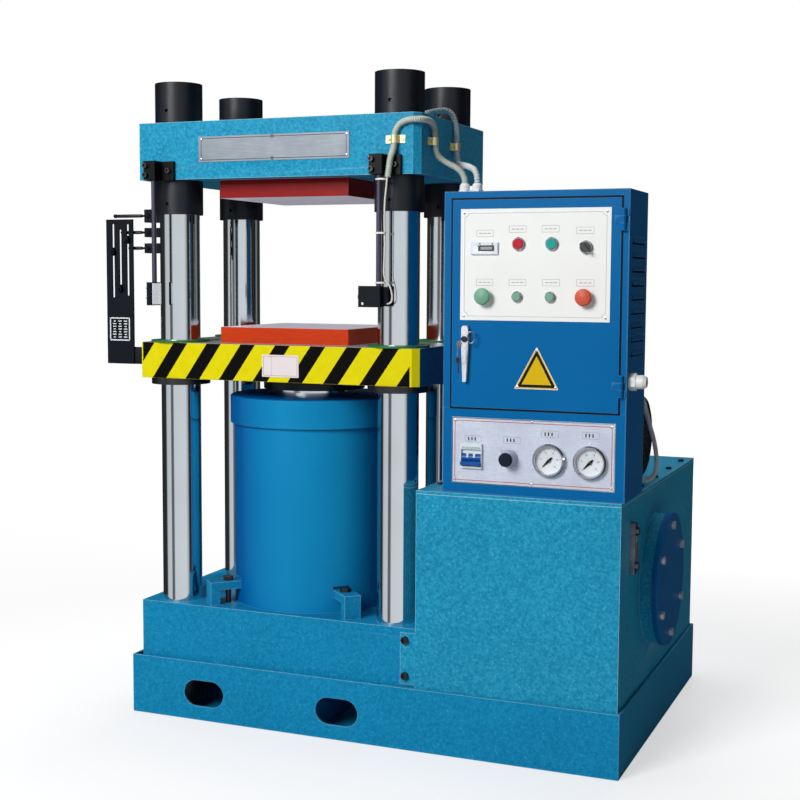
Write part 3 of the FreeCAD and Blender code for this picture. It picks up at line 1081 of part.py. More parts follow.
def make_limit_plate():
    """The slotted plate that rises with the table, its bracket and the three dogs clamped in its slots."""
    radius = "slot_width / 2"
    low, high = ("slide_left", "slide_low"), ("slide_left + slide_width", "slide_low + slide_height")
    plate = block("slide_plate", (low[0], "slide_face", low[1]), ("slide_width", "slide_thick", "slide_height"))
    slots, dogs = [], []
    for number, (across, foot, top, dog, drop, tall) in enumerate(LIMITS, start=1):
        along = f"slide_left + {across}"
        low_end, high_end = f"slide_low + {foot} + {radius}", f"slide_low + {top} - {radius}"
        spans = [drum(f"slot_end_{number}_{end}", (along, "slide_face - 1", at), radius, "slide_thick + 2", "y")
                 for end, at in (("low", low_end), ("high", high_end))]
        spans.append(block(f"slot_span_{number}", (f"{along} - {radius}", "slide_face - 1", low_end),
                           ("slot_width", "slide_thick + 2", f"{top} - {foot} - slot_width")))
        slots.append(fuse(f"limit_slot_{number}", spans))
        place = f"slide_low + {dog}"
        knob = turned(f"dog_knob_{number}", [
            ("0", "0"), ("dog_radius", "0"), ("dog_radius", "10"), ("dog_radius - 1", "11"), ("5", "11"),
            ("5", "15"), ("0", "15")], (along, "slide_face", place), "-y")
        stem = drum(f"dog_stem_{number}", (along, "slide_face - 1", place), f"{radius} - soft_clearance",
                    "slide_thick + 2", "y")
        cam = block(f"dog_cam_{number}",
                    (f"{along} - cam_width / 2", "0 - slide_back", f"{place} - cam_height / 2"),
                    ("cam_width", "cam_thick", "cam_height"))
        dogs.append(fuse(f"dog_{number}", [knob, stem, cam]))
    reach = "0 - head_width / 2"
    arm = block("slide_arm", ("slide_left + slide_width - bracket_lap", "0 - slide_back", "slide_low"),
                (f"{reach} - slide_left - slide_width + bracket_lap", "bracket_thick", "bracket_height"))
    leg = block("slide_leg", (f"{reach} - bracket_thick", "0 - slide_back", "slide_low"),
                ("bracket_thick", "bracket_depth", "bracket_height"))
    keep(cut("slide", fuse("slide_solid", [plate, arm, leg]), slots), "limit_plate")
    keep(group("dogs", dogs), "limit_dogs")


def make_limit_switches():
    """The rail on the crosshead's left side, its three switches and their roller levers."""
    side = "0 - head_width / 2"
    strip = block("rail_strip", ("rail_left", "0 - rail_face", "rail_low"),
                  (f"{side} - rail_left - rail_off", "bracket_thick", "rail_high - rail_low"))
    tab = block("rail_tab",
                (f"{side} - rail_off - bracket_thick", "0 - rail_face", "head_bottom + rail_foot"),
                ("bracket_thick", "bracket_depth", "rail_up - rail_foot"))
    spacer = block("rail_spacer", (f"{side} - rail_off", "0 - rail_face", "head_bottom + rail_foot"),
                   ("rail_off", "bracket_depth", "rail_up - rail_foot"))
    inlet = block("rail_inlet", ("0 - inlet_along - inlet_side / 2", "bracket_thick - rail_face",
                                 "inlet_top - inlet_tall"), ("inlet_side", "inlet_side", "inlet_tall"))
    keep(fuse("rail", [strip, tab, spacer, inlet]), "limit_rail")

    cases = []
    front = "(0 - rail_face - switch_depth)"
    pivot = "switch_left + pivot_in"
    lever_back = "(cam_thick - slide_back + pass_clearance + roller_width + lever_thick)"
    for number, (across, foot, top, dog, drop, tall) in enumerate(LIMITS, start=1):
        level = f"head_bottom - {drop}"
        case = block(f"case_{number}", ("switch_left", front, f"{level} - {tall} / 2"),
                     ("switch_width", "switch_depth", tall))
        shaft = drum(f"case_shaft_{number}", (pivot, f"{front} - shaft_reach", level), "shaft_radius",
                     "shaft_reach + 1", "y")
        cases.append(fuse(f"limit_case_{number}", [case, shaft]))
        along = f"slide_left + {across}"
        arm = block(f"lever_arm_{number}",
                    (along, f"{lever_back} - lever_thick", f"{level} - lever_width / 2"),
                    (f"{pivot} - slide_left - {across}", "lever_thick", "lever_width"))
        boss = drum(f"lever_boss_{number}", (pivot, f"{lever_back} - lever_thick", level), "7",
                    "lever_thick", "y")
        tip = drum(f"lever_tip_{number}", (along, f"{lever_back} - lever_thick", level), "3.5",
                   "lever_thick", "y")
        roller = drum(f"lever_roller_{number}", (along, f"{lever_back} - lever_thick - roller_width", level),
                      "roller_diameter / 2", "roller_width", "y")
        bore = drum(f"lever_bore_{number}", (pivot, f"{lever_back} - lever_thick - 1", level),
                    "shaft_radius + run_clearance", "lever_thick + 2", "y")
        lever = cut(f"lever_{number}", fuse(f"lever_solid_{number}", [arm, boss, tip, roller]), [bore])
        keep(lever, f"limit_lever_{number}")
    keep(group("cases", cases), "limit_switches")


# ---------------------------------------------------------------- conduits, cable and pipes
# hand-set points of each route, in millimetres
CONDUIT_ROUTES = {
    "conduit_1": [(453, -130, 1336), (453, -130, 1364), (398, -138, 1390), (382.8, -146, 1412),
                  (382.8, -146, 1478), (385, -235, 1478), (338, -232.8, 1476), (317, -232.8, 1454),
                  (317, -232.8, 1416), (313, -252, 1388), (309, -252, 1346)],
    "conduit_2": [(484, -130, 1336), (484, -130, 1364), (446, -90, 1380), (411, -36, 1387),
                  (382.8, 2, 1395), (382.8, 2, 1524), (310, 8, 1524), (262, 8, 1503), (-290, -8, 1503),
                  (-345, -8, 1510), (-400, -8, 1510), (-400, -8, 1440), (-400, -30, 1392), (-400, -30, 1330)],
    "conduit_3": [(722, 120, 862), (750, 120, 862), (804, 90, 866), (840, 60, 838), (856, 46, 790),
                  (874, 41, 738), (882, 40, 694), (881, 40, 654), (858, 36, 636), (835, 12, 650),
                  (835, -14, 650)],
}
CABLE_ROUTE = [(308, -252, 1352), (305.5, -252, 1324), (301, -251, 1288), (300, -250, 1244),
               (301.5, -250, 1196), (300, -250, 1150), (299, -250, 1116), (313, -249, 1100), (321, -249, 1078),
               (319, -249, 1056), (306, -249, 1056)]
CONDUIT_SIZES = {"conduit_1": ("conduit_diameter", 4.0), "conduit_2": ("conduit_diameter", 6.6),
                 "conduit_3": ("thin_conduit", 3.6)}


def bent_route(name, points, most):
    """Straight runs joined by tangent arcs: each as large as its runs allow, up to the given radius."""
    spots = [Vector(*point) for point in points]
    edges = []
    radii = []
    start = spots[0]
    for before, corner, after in zip(spots, spots[1:], spots[2:]):
        into = corner - before
        out = after - corner
        half = into.getAngle(out) / 2
        radius = min(0.45 * min(into.Length, out.Length) / math.tan(half), most)
        reach = radius * math.tan(half)
        near = corner - into.normalize() * reach
        far = corner + out.normalize() * reach
        middle = corner + ((near - corner) + (far - corner)).normalize() * (radius / math.cos(half) - radius)
        edges.append(Part.LineSegment(start, near).toShape())
        edges.append(Part.Arc(near, middle, far).toShape())
        radii.append(round(radius, 1))
        start = far
    edges.append(Part.LineSegment(start, spots[-1]).toShape())
    route = Part.Wire(edges)
    print(name, "length", round(route.Length, 1), "radii", radii)
    return route


def frames_along(route, stations):
    """Placements on the route at the given distances, with an X axis that never twists about it."""
    places = []
    steady = None
    edges = route.Edges
    for station in stations:
        rest = station
        edge = edges[0]
        for edge in edges:
            if rest <= edge.Length + 1e-7:
                break
            rest -= edge.Length
        at = edge.getParameterByLength(min(rest, edge.Length))
        spot, ahead = edge.valueAt(at), edge.tangentAt(at)
        if steady is None:
            steady = Vector(1, 0, 0) if abs(ahead.x) < 0.9 else Vector(0, 1, 0)
        steady = (steady - ahead * steady.dot(ahead)).normalize()
        side = ahead.cross(steady)
        places.append(Placement(FreeCAD.Matrix(
            steady.x, side.x, ahead.x, spot.x, steady.y, side.y, ahead.y, spot.y,
            steady.z, side.z, ahead.z, spot.z, 0, 0, 0, 1)))
    return places


def circle_at(place, radius):
    loop = Part.Wire(Part.makeCircle(radius))
    loop.Placement = place
    return loop


def ribbed_tube(node, route, crest, root, bore, pitch):
    """A corrugated conduit: four circles a rib outside, a smooth bore inside, and a ring at each end."""
    ribs = int(route.Length / pitch)
    lead = (route.Length - ribs * pitch) / 2
    profile = [(0, root)]
    for rib in range(ribs):
        start = lead + rib * pitch
        profile += [(start + share * pitch, radius)
                    for share, radius in ((0.1, root), (0.3, crest), (0.7, crest), (0.9, root))]
    profile.append((route.Length, root))
    places = frames_along(route, [station for station, radius in profile])
    outside = [circle_at(place, radius) for place, (station, radius) in zip(places, profile)]
    inner_places = places[:1] + places[3:-2:4] + places[-1:]
    inside = [circle_at(place, bore) for place in inner_places]
    faces = Part.makeLoft(outside, False, True).Faces + Part.makeLoft(inside, False, True).Faces
    faces += [Part.makeRuledSurface(outside[end].Edges[0], inside[end].Edges[0]) for end in (0, -1)]
    shell = Part.Shell(faces)
    shell.sewShape()
    solid = Part.Solid(Part.Shell(shell.Faces))
    if solid.Volume < 0:
        solid.reverse()
    piece = doc.addObject("Part::Feature", node)
    piece.Shape = solid
    piece.Placement = Placement()
    filled = 0.4 * crest ** 2 + 0.2 * root ** 2 + 0.4 * (crest + root) ** 2 / 4
    mean = route.Length * math.pi * (filled - bore ** 2)
    print(node, "ribs", ribs, "volume", round(solid.Volume), "expected about", round(mean))
    return keep(piece, node)


def smooth_tube(name, route, radius):
    """A round bar or tube's outside along a route; its volume is compared with section times length."""
    first = frames_along(route, [0])[0]
    profile = circle_at(first, radius)
    solid = route.makePipeShell([profile], True, False)
    piece = doc.addObject("Part::Feature", name)
    piece.Shape = solid
    piece.Placement = Placement()
    print(name, "volume", round(solid.Volume), "expected", round(math.pi * radius ** 2 * route.Length))
    return piece


def make_conduits():
    """The corrugated conduits and the photo switch's cable, laid along their hand-set routes."""
    for node, points in CONDUIT_ROUTES.items():
        size, pitch = CONDUIT_SIZES[node]
        crest = read(size) / 2
        route = bent_route(node, points, read(size) * 2.4)
        root = crest - read("rib_height")
        ribbed_tube(node, route, crest, root, root - read("conduit_wall"), pitch)
    radius = read("cable_diameter") / 2
    route = bent_route("sensor_cable", CABLE_ROUTE, radius * 10)
    keep(smooth_tube("cable", route, radius), "sensor_cable")


def saddle(name, at, turn):
    """A two-footed saddle over a conduit that runs up a face, which lies at the saddle's own Y of zero."""
    axis = "(conduit_diameter / 2 + soft_clearance)"
    outer = f"({axis} + clip_thick)"
    low = "0 - clip_width / 2"
    round_top = cut(name + "_top", drum(name + "_hoop", ("0", f"0 - {axis}", low), outer, "clip_width"),
                    [block(name + "_below", (f"0 - {outer} - 1", f"0 - {axis}", "0 - clip_width"),
                           (f"2 * {outer} + 2", f"{outer} + 1", "clip_width * 2"))])
    solids = [round_top]
    for end, edge, foot in (("low", f"0 - {outer}", "0 - clip_span / 2"), ("high", axis, axis)):
        solids.append(block(f"{name}_leg_{end}", (edge, f"0 - {axis}", low), ("clip_thick", axis, "clip_width")))
        solids.append(block(f"{name}_foot_{end}", (foot, "0 - clip_thick", low),
                            (f"clip_span / 2 - {axis}", "clip_thick", "clip_width")))
    for end, sign in (("low", "-"), ("high", "+")):
        solids.append(drum(f"{name}_screw_{end}", (f"0 {sign} (clip_span / 2 - clip_screw_in)",
                                                   "0 - clip_thick", "0"), "clip_screw", "3", "-y"))
    bore = drum(name + "_bore", ("0", f"0 - {axis}", "0 - clip_width"), axis, "clip_width * 2")
    piece = cut(name, fuse(name + "_solid", solids), [bore])
    piece.Placement = Placement(Vector(), turn)
    return put(piece, at)


def gland(name, at, along, radius, long, bore="2", tail="tail_radius"):
    """A cable gland: a hexagon nut, a domed cap and a threaded tail through the sheet behind it."""
    back = {"x": (f"{at[0]} - sheet - 4", at[1], at[2]), "y": (at[0], f"{at[1]} - sheet - 4", at[2]),
            "z": (at[0], at[1], f"{at[2]} - sheet - 4")}[along]
    nut = hexagon(name + "_nut", at, radius, f"{long} * 0.4", along)
    cap = turned(name + "_cap", [
        ("0", "0"), (f"{radius} * 0.8", "0"), (f"{radius} * 0.8", f"{long} * 0.8"), (f"{radius} * 0.6", long),
        ("0", long)], at, along)
    thread = drum(name + "_tail", back, tail, "sheet + 5", along)
    hole = drum(name + "_bore", back, bore, f"{long} + sheet + 5", along)
    return cut(name, fuse(name + "_solid", [nut, cap, thread]), [hole])


def make_fittings():
    """Glands where the conduits enter, the saddles on the crosshead and the open gland on the side."""
    radius = "gland_diameter_top / 2"
    pieces = [gland(f"top_gland_{number}", (along, "gland_back", "cabinet_top"), "z", radius, "gland_out")
              for number, along in enumerate(GLANDS)]
    pieces.append(gland("rear_gland", (REAR_GLAND[0], "cabinet_back", REAR_GLAND[1]), "y",
                        "small_gland", "26"))
    pieces.append(gland("motor_gland", (f"{MOTOR_LEFT} + 170", "motor_back", "motor_inlet"), "x",
                        "small_gland", "20"))
    pieces.append(gland("side_gland", ("cabinet_right", *MAIN_GLAND), "x", "main_gland", "main_gland_out",
                        "main_gland_bore", "main_gland_tail"))
    level = "head_bottom + clip_rise"
    front = CONDUIT_ROUTES["conduit_1"][7]
    pieces.append(saddle("front_saddle", (str(front[0]), "0 - head_depth / 2", level), Rotation()))
    side_turn = Rotation(Vector(0, 0, 1), 90)
    for number, back in enumerate((CONDUIT_ROUTES["conduit_1"][3][1], CONDUIT_ROUTES["conduit_2"][4][1])):
        pieces.append(saddle(f"side_saddle_{number}", ("head_width / 2", f"0 + ({back})", level), side_turn))
    keep(group("fittings", pieces), "conduit_fittings")


def make_oil_pipes(suction):
    """The suction pipe and the two pressure pipes, bent from one bar of tube each."""
    radius = read("pipe_diameter") / 2
    valve_left, valve_front = read("valve_left"), read("valve_front")
    middle = valve_front + read("valve_depth") / 2
    level = read("lid_top") + read("valve_height") / 2
    turn = read("pipe_bend")
    rear = read("cylinder_diameter") / 2 + read("port_out")
    low = read("bolster_top") + read("port_level")
    beside = valve_left - 100
    main = [(valve_left, middle, level), (beside, middle, level), (beside, middle, low), (0, middle, low),
            (0, rear, low)]
    across = read("motor_right") - read("motor_length") - 77
    pump = read("motor_level")
    feed = [(across, read("motor_back") + read("pump_drop"), pump), (across, valve_front - 100, pump),
            (across, valve_front - 100, level), (across, valve_front, level)]
    pipes = [suction]
    for name, points, bend in (("main_pipe", main, turn), ("feed_pipe", feed, turn / 2)):
        pipes.append(smooth_tube(name, bent_route(name, points, bend), radius))
    keep(group("pipes", pipes), "oil_pipes")


# ---------------------------------------------------------------- the whole press
make_tray()
make_frame()
make_cylinder()
clamps, clamp_screws = zip(*[clamp_at(number) for number in range(4)])
keep(group("clamps", list(clamps)), "cylinder_clamps")
make_table()
make_tank()
make_nameplate()
rod_screws = make_light_barrier()
make_screws(list(clamp_screws) + rod_screws)
suction_pipe = make_pump_set()
make_oil_pipes(suction_pipe)
make_cabinet()
make_buttons()
make_instruments()
make_limit_plate()
make_limit_switches()
make_conduits()
make_fittings()

doc.recompute()
for item in doc.Objects:
    if "Invalid" in item.State or "Error" in item.State:
        raise RuntimeError(f"{item.Name} failed: {item.State}")
for node, piece in NODES.items():
    if piece.Shape.isNull() or not piece.Shape.isValid() or not piece.Shape.Solids:
        raise RuntimeError(f"{node} has no valid shape")

os.makedirs("parts", exist_ok=True)
for node, piece in NODES.items():
    piece.Shape.exportStep(f"parts/{node}.step")
print(len(NODES), "nodes written")
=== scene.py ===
import json
import math

import bmesh
import bpy
from mathutils import Matrix, Vector

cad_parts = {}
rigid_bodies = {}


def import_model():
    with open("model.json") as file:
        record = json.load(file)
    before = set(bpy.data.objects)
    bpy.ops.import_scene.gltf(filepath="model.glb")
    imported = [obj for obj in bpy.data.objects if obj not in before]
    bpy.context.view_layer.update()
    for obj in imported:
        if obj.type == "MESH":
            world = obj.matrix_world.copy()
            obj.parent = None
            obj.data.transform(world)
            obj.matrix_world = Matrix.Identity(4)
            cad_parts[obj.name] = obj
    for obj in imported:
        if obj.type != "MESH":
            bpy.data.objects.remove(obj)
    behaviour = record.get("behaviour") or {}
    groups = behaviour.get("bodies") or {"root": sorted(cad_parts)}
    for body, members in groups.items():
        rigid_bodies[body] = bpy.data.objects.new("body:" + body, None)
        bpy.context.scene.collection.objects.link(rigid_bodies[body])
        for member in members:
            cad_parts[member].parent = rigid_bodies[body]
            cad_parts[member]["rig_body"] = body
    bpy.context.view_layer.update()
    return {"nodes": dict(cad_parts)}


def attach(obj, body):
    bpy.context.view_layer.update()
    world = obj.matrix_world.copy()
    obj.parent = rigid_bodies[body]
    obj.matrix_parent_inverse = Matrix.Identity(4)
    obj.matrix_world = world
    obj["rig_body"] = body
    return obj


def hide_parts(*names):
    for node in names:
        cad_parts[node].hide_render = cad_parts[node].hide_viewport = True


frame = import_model()
NODES = frame["nodes"]

# Four column hydraulic press with its pump set, oil tank and control cabinet.
# Lengths in the tables and calls below are millimetres; MM turns them to Blender's metres.
MM = 0.001
QUARTER = math.radians(90)


def box(name):
    """The lowest and the highest corner of a CAD node."""
    axes = list(zip(*NODES[name].bound_box))
    return [round(min(a) / MM, 3) for a in axes], [round(max(a) / MM, 3) for a in axes]


def middle(name):
    """The middle of a CAD node's box, to a tenth, because a round node's facets stop just inside its edge."""
    low, high = box(name)
    return [round((a + b) / 2, 1) for a, b in zip(low, high)]


def within(name, left, right, under, over):
    """The low and the high X and Z of a node's front, moved in from its four sides."""
    low, high = box(name)
    return (low[0] + left, low[2] + under), (high[0] - right, high[2] - over)


# the faces that carry small pieces, as their Y
PANEL_FACE, DOOR_FACE = box("control_panel")[0][1], box("control_panel")[1][1]
STRIP_FACE, PLATE_FACE = box("instrument_strip")[0][1], box("nameplate")[0][1]
TABLE_FRONT, LIMIT_FACE = box("moving_table")[0][1], box("limit_plate")[0][1]


# ---------------------------------------------------------------- camera, light and floor
CAMERA_PLACE = Vector((1546.8, -3181.96, 1114.67)) * MM
CAMERA_YAW, CAMERA_DOWN, CAMERA_ROLL = (math.radians(a) for a in (22.347, 5.061, 0.313))
LENS = 61.77


def node(tree, kind, inputs=(), **settings):
    """Adds a shader node; each input is a value or the output that feeds it."""
    made = tree.nodes.new("ShaderNode" + kind)
    for name, value in settings.items():
        setattr(made, name, value)
    for key, value in dict(inputs).items():
        if isinstance(value, bpy.types.NodeSocket):
            tree.links.new(value, made.inputs[key])
        else:
            made.inputs[key].default_value = value
    return made


def paint(code):
    """An sRGB hex value as linear red, green, blue and alpha."""
    parts = [int(code[i:i + 2], 16) / 255 for i in (1, 3, 5)]
    return [*(c / 12.92 if c <= 0.04045 else ((c + 0.055) / 1.055) ** 2.4 for c in parts), 1.0]


def stand_camera():
    """A camera level with the platens, in front and to the right of the press."""
    ahead = Vector((-math.sin(CAMERA_YAW) * math.cos(CAMERA_DOWN),
                    math.cos(CAMERA_YAW) * math.cos(CAMERA_DOWN), -math.sin(CAMERA_DOWN)))
    side = Vector((math.cos(CAMERA_YAW), math.sin(CAMERA_YAW), 0))
    upright = side.cross(ahead)
    right = side * math.cos(CAMERA_ROLL) + upright * math.sin(CAMERA_ROLL)
    up = upright * math.cos(CAMERA_ROLL) - side * math.sin(CAMERA_ROLL)
    bpy.ops.object.camera_add(location=CAMERA_PLACE)
    camera = bpy.context.object
    turned = Matrix((right, up, -ahead)).transposed().to_4x4()
    camera.matrix_world = Matrix.Translation(CAMERA_PLACE) @ turned
    camera.data.lens = LENS
    camera.data.clip_start, camera.data.clip_end = 0.1, 60
    bpy.context.scene.camera = camera


# each soft box: where it hangs and where it points, both in metres, its width, its power, and whether the
# press mirrors it
LAMPS = {
    "key": ((-1.1, -4.9, 3.3), (0.25, 0, 0.8), 2.2, 262, True),
    "top": ((-0.2, 0.6, 4.6), (0.2, 0.1, 0.6), 2.4, 70, False),
    "rear": ((0.6, 4.6, 2.6), (0.2, 0, 0.7), 2.2, 85, False),
    "side": ((5.0, 0.4, 2.2), (0.6, 0.2, 0.6), 2.0, 4, False),
}


def hang_lamp(name, place, target, width, power, mirrored):
    """A square soft box that points at a place on the press."""
    bpy.ops.object.light_add(type="AREA", location=place)
    lamp = bpy.context.object
    lamp.name = name
    lamp.rotation_euler = (Vector(target) - Vector(place)).to_track_quat("-Z", "Y").to_euler()
    lamp.data.size = width
    lamp.data.energy = power
    lamp.visible_glossy = mirrored


# share of a turn, from the left by the front and the right to the back and round to the left again, and
# how bright the studio is there
STUDIO_BANDS = [(0.0, 0.03), (0.055, 0.04), (0.075, 0.7), (0.15, 0.8), (0.165, 0.16), (0.2, 0.16),
                (0.215, 0.84), (0.40, 0.88), (0.43, 0.6), (0.455, 0.03), (0.60, 0.02), (0.61, 0.25),
                (0.63, 0.25), (0.64, 0.03), (1.0, 0.03)]
SOFT_LEVEL = 0.09


def seen(tree):
    """1 for what the camera sees, plainly or in a mirror or through glass, and 0 for light on its way."""
    path = node(tree, "LightPath")
    mirrored = node(tree, "Math", {0: path.outputs["Is Glossy Ray"], 1: path.outputs["Is Transmission Ray"]},
                    operation="ADD")
    return node(tree, "Math", {0: path.outputs["Is Camera Ray"], 1: mirrored.outputs[0]}, operation="ADD",
                use_clamp=True).outputs[0]


def light_studio():
    """White surroundings, soft boxes, and the black cards and white boards that the chrome mirrors."""
    world = bpy.data.worlds.new("studio")
    bpy.context.scene.world = world
    world.use_nodes = True
    tree = world.node_tree
    tree.nodes.clear()
    way = node(tree, "SeparateXYZ", {0: node(tree, "TexCoord").outputs["Generated"]})
    turn = node(tree, "Math", {0: way.outputs["Y"], 1: way.outputs["X"]}, operation="ARCTAN2")
    share = node(tree, "MapRange", {"Value": turn.outputs[0], "From Min": -math.pi, "From Max": math.pi})
    cards = node(tree, "ValToRGB", {0: share.outputs[0]})
    while len(cards.color_ramp.elements) < len(STUDIO_BANDS):
        cards.color_ramp.elements.new(0.5)
    for stop, (where, bright) in zip(cards.color_ramp.elements, STUDIO_BANDS):
        stop.position = where
        stop.color = (bright, bright, bright * 1.03, 1)
    glossy = node(tree, "LightPath").outputs["Is Glossy Ray"]
    colour = node(tree, "Mix", {0: glossy, 6: (1, 1, 1, 1), 7: cards.outputs[0]}, data_type="RGBA")
    level = node(tree, "MapRange", {"Value": seen(tree), "To Min": SOFT_LEVEL, "To Max": 1.0})
    back = node(tree, "Background", {"Color": colour.outputs[2], "Strength": level.outputs[0]})
    node(tree, "OutputWorld", {"Surface": back.outputs[0]})
    for name, (place, target, width, power, mirrored) in LAMPS.items():
        hang_lamp(name, place, target, width, power, mirrored)


# the floor's width and place, and the distances in metres over which its paper brightens to white
FLOOR_WIDTH, FLOOR_LEVEL = 40, -0.0006
NEAR, NEAR_GLOW, FAR, FAR_GLOW = 1.5, 0.56, 6.0, 0.97


def lay_floor():
    """A pale floor that keeps a soft shadow under the press and runs out to white."""
    bpy.ops.mesh.primitive_plane_add(size=FLOOR_WIDTH, location=(0, 0, FLOOR_LEVEL))
    floor = bpy.context.object
    floor.name = "floor"
    material = bpy.data.materials.new("white paper sweep")
    material.use_nodes = True
    tree = material.node_tree
    tree.nodes.clear()
    reach = node(tree, "VectorMath", {0: node(tree, "TexCoord").outputs["Object"]}, operation="LENGTH")
    level = node(tree, "MapRange", {"Value": reach.outputs["Value"], "From Min": NEAR, "From Max": FAR,
                                    "To Min": NEAR_GLOW, "To Max": FAR_GLOW})
    glow = node(tree, "Emission", {"Color": (1, 1, 1, 1), "Strength": level.outputs[0]})
    paper = node(tree, "BsdfDiffuse", {"Color": (0.5, 0.5, 0.505, 1)})
    lit = node(tree, "AddShader", {0: glow.outputs[0], 1: paper.outputs[0]})
    both = node(tree, "MixShader", {0: seen(tree), 1: paper.outputs[0], 2: lit.outputs[0]})
    node(tree, "OutputMaterial", {"Surface": both.outputs[0]})
    floor.data.materials.append(material)
    floor.visible_glossy = False


# ---------------------------------------------------------------- finishes
def start(name):
    """A new material: its tree, its shader and the object coordinates that its pattern reads."""
    material = bpy.data.materials.new(name)
    material.use_nodes = True
    tree = material.node_tree
    tree.nodes.clear()
    shader = node(tree, "BsdfPrincipled")
    node(tree, "OutputMaterial", {"Surface": shader.outputs[0]})
    return material, tree, shader, node(tree, "TexCoord").outputs["Object"]


def feed(tree, shader, **sockets):
    """Sets or links the shader's sockets by their names, with _ for a space."""
    for name, value in sockets.items():
        socket = shader.inputs[name.replace("_", " ")]
        if isinstance(value, bpy.types.NodeSocket):
            tree.links.new(value, socket)
        else:
            socket.default_value = value


def worn_corner(tree, reach, strength):
    """How pale a corner is painted, partly for wear and partly as a painted highlight: 1 along a corner, over
    a reach in millimetres, and 0 on the flats.
    """
    rounded = node(tree, "Bevel", {"Radius": reach * MM}, samples=6)
    flat = node(tree, "NewGeometry").outputs["True Normal"]
    match = node(tree, "VectorMath", {0: rounded.outputs[0], 1: flat}, operation="DOT_PRODUCT")
    return node(tree, "MapRange", {"Value": match.outputs["Value"], "From Min": 0.992, "From Max": 0.9,
                                   "To Min": 0.0, "To Max": strength}).outputs[0]


def hammered_enamel(name, deep, tone, pale, edge):
    """Hammer enamel, sprayed: it pulls into mottled cells a few millimetres wide, with pale flecks on a
    deeper ground and a subdued gloss, and it is pale along the corners, partly from wear and partly as a
    painted highlight. The real cells are about 3 mm and are drawn at 6 mm, so that they show in a view of the
    whole press."""
    material, tree, shader, place = start(name)
    cells = node(tree, "TexNoise", {"Vector": place, "Scale": 1 / 0.0065, "Detail": 4.0, "Roughness": 0.66})
    fleck = node(tree, "TexVoronoi", {"Vector": place, "Scale": 1 / 0.006, "Randomness": 1.0})
    cloud = node(tree, "TexNoise", {"Vector": place, "Scale": 1 / 0.2, "Detail": 1.0})
    ground = node(tree, "MapRange", {"Value": cells.outputs[0], "From Min": 0.34, "From Max": 0.62})
    base = node(tree, "Mix", {0: ground.outputs[0], 6: paint(deep), 7: paint(tone)}, data_type="RGBA")
    spot = node(tree, "MapRange", {"Value": fleck.outputs["Distance"], "From Min": 0.3, "From Max": 0.12,
                                   "To Max": 0.4})
    where = node(tree, "MapRange", {"Value": cells.outputs[0], "From Min": 0.5, "From Max": 0.62})
    spots = node(tree, "Math", {0: spot.outputs[0], 1: where.outputs[0]}, operation="MULTIPLY")
    flecked = node(tree, "Mix", {0: spots.outputs[0], 6: base.outputs[2], 7: paint(pale)}, data_type="RGBA")
    drift = node(tree, "MapRange", {"Value": cloud.outputs[0], "From Min": 0.3, "From Max": 0.7,
                                    "To Min": 0.96, "To Max": 1.03})
    clouded = node(tree, "VectorMath", {0: flecked.outputs[2], "Scale": drift.outputs[0]}, operation="SCALE")
    # pale corners: partly wear, partly a painted highlight
    wear_and_highlight = worn_corner(tree, 2.2, 0.75)
    colour = node(tree, "Mix", {0: wear_and_highlight, 6: clouded.outputs[0], 7: paint(edge)}, data_type="RGBA")
    gloss = node(tree, "MapRange", {"Value": cells.outputs[0], "To Min": 0.3, "To Max": 0.48})
    relief = node(tree, "Bump", {"Height": cells.outputs[0], "Strength": 0.35, "Distance": 0.0012})
    feed(tree, shader, Base_Color=colour.outputs[2], Roughness=gloss.outputs[0], Normal=relief.outputs[0],
         Specular_IOR_Level=0.09)
    return material


def stoved_enamel(name, deep, tone, edge, rough=0.32, reach=1.6, painted_rim_shade=None):
    """Stoved enamel on sheet steel: an even colour with a faint orange peel, drawn at 5 mm where the real one
    is 2 mm, a soft gloss, and bright thin corners, partly wear and partly a painted highlight. With
    painted_rim_shade it also deepens where the wall turns from the eye, as on the sides of a drum: painted
    shade."""
    material, tree, shader, place = start(name)
    cloud = node(tree, "TexNoise", {"Vector": place, "Scale": 1 / 0.22, "Detail": 3.0})
    peel = node(tree, "TexNoise", {"Vector": place, "Scale": 1 / 0.005, "Detail": 1.0})
    base = node(tree, "Mix", {0: cloud.outputs[0], 6: paint(deep), 7: paint(tone)}, data_type="RGBA")
    if painted_rim_shade:
        # painted shade: the colour deepens where the wall turns from the eye
        facing = node(tree, "LayerWeight", {"Blend": 0.5}).outputs["Facing"]
        share = node(tree, "MapRange", {"Value": facing, "From Min": 0.08, "From Max": 0.6})
        base = node(tree, "Mix", {0: share.outputs[0], 6: base.outputs[2], 7: paint(painted_rim_shade)}, data_type="RGBA")
    colour = node(tree, "Mix", {0: worn_corner(tree, reach, 0.6), 6: base.outputs[2], 7: paint(edge)},
                  data_type="RGBA")
    dust = node(tree, "MapRange", {"Value": cloud.outputs[0], "To Min": rough - 0.05, "To Max": rough + 0.1})
    relief = node(tree, "Bump", {"Height": peel.outputs[0], "Strength": 0.12, "Distance": 0.0006})
    feed(tree, shader, Base_Color=colour.outputs[2], Roughness=dust.outputs[0], Normal=relief.outputs[0],
         Specular_IOR_Level=0.08)
    return material


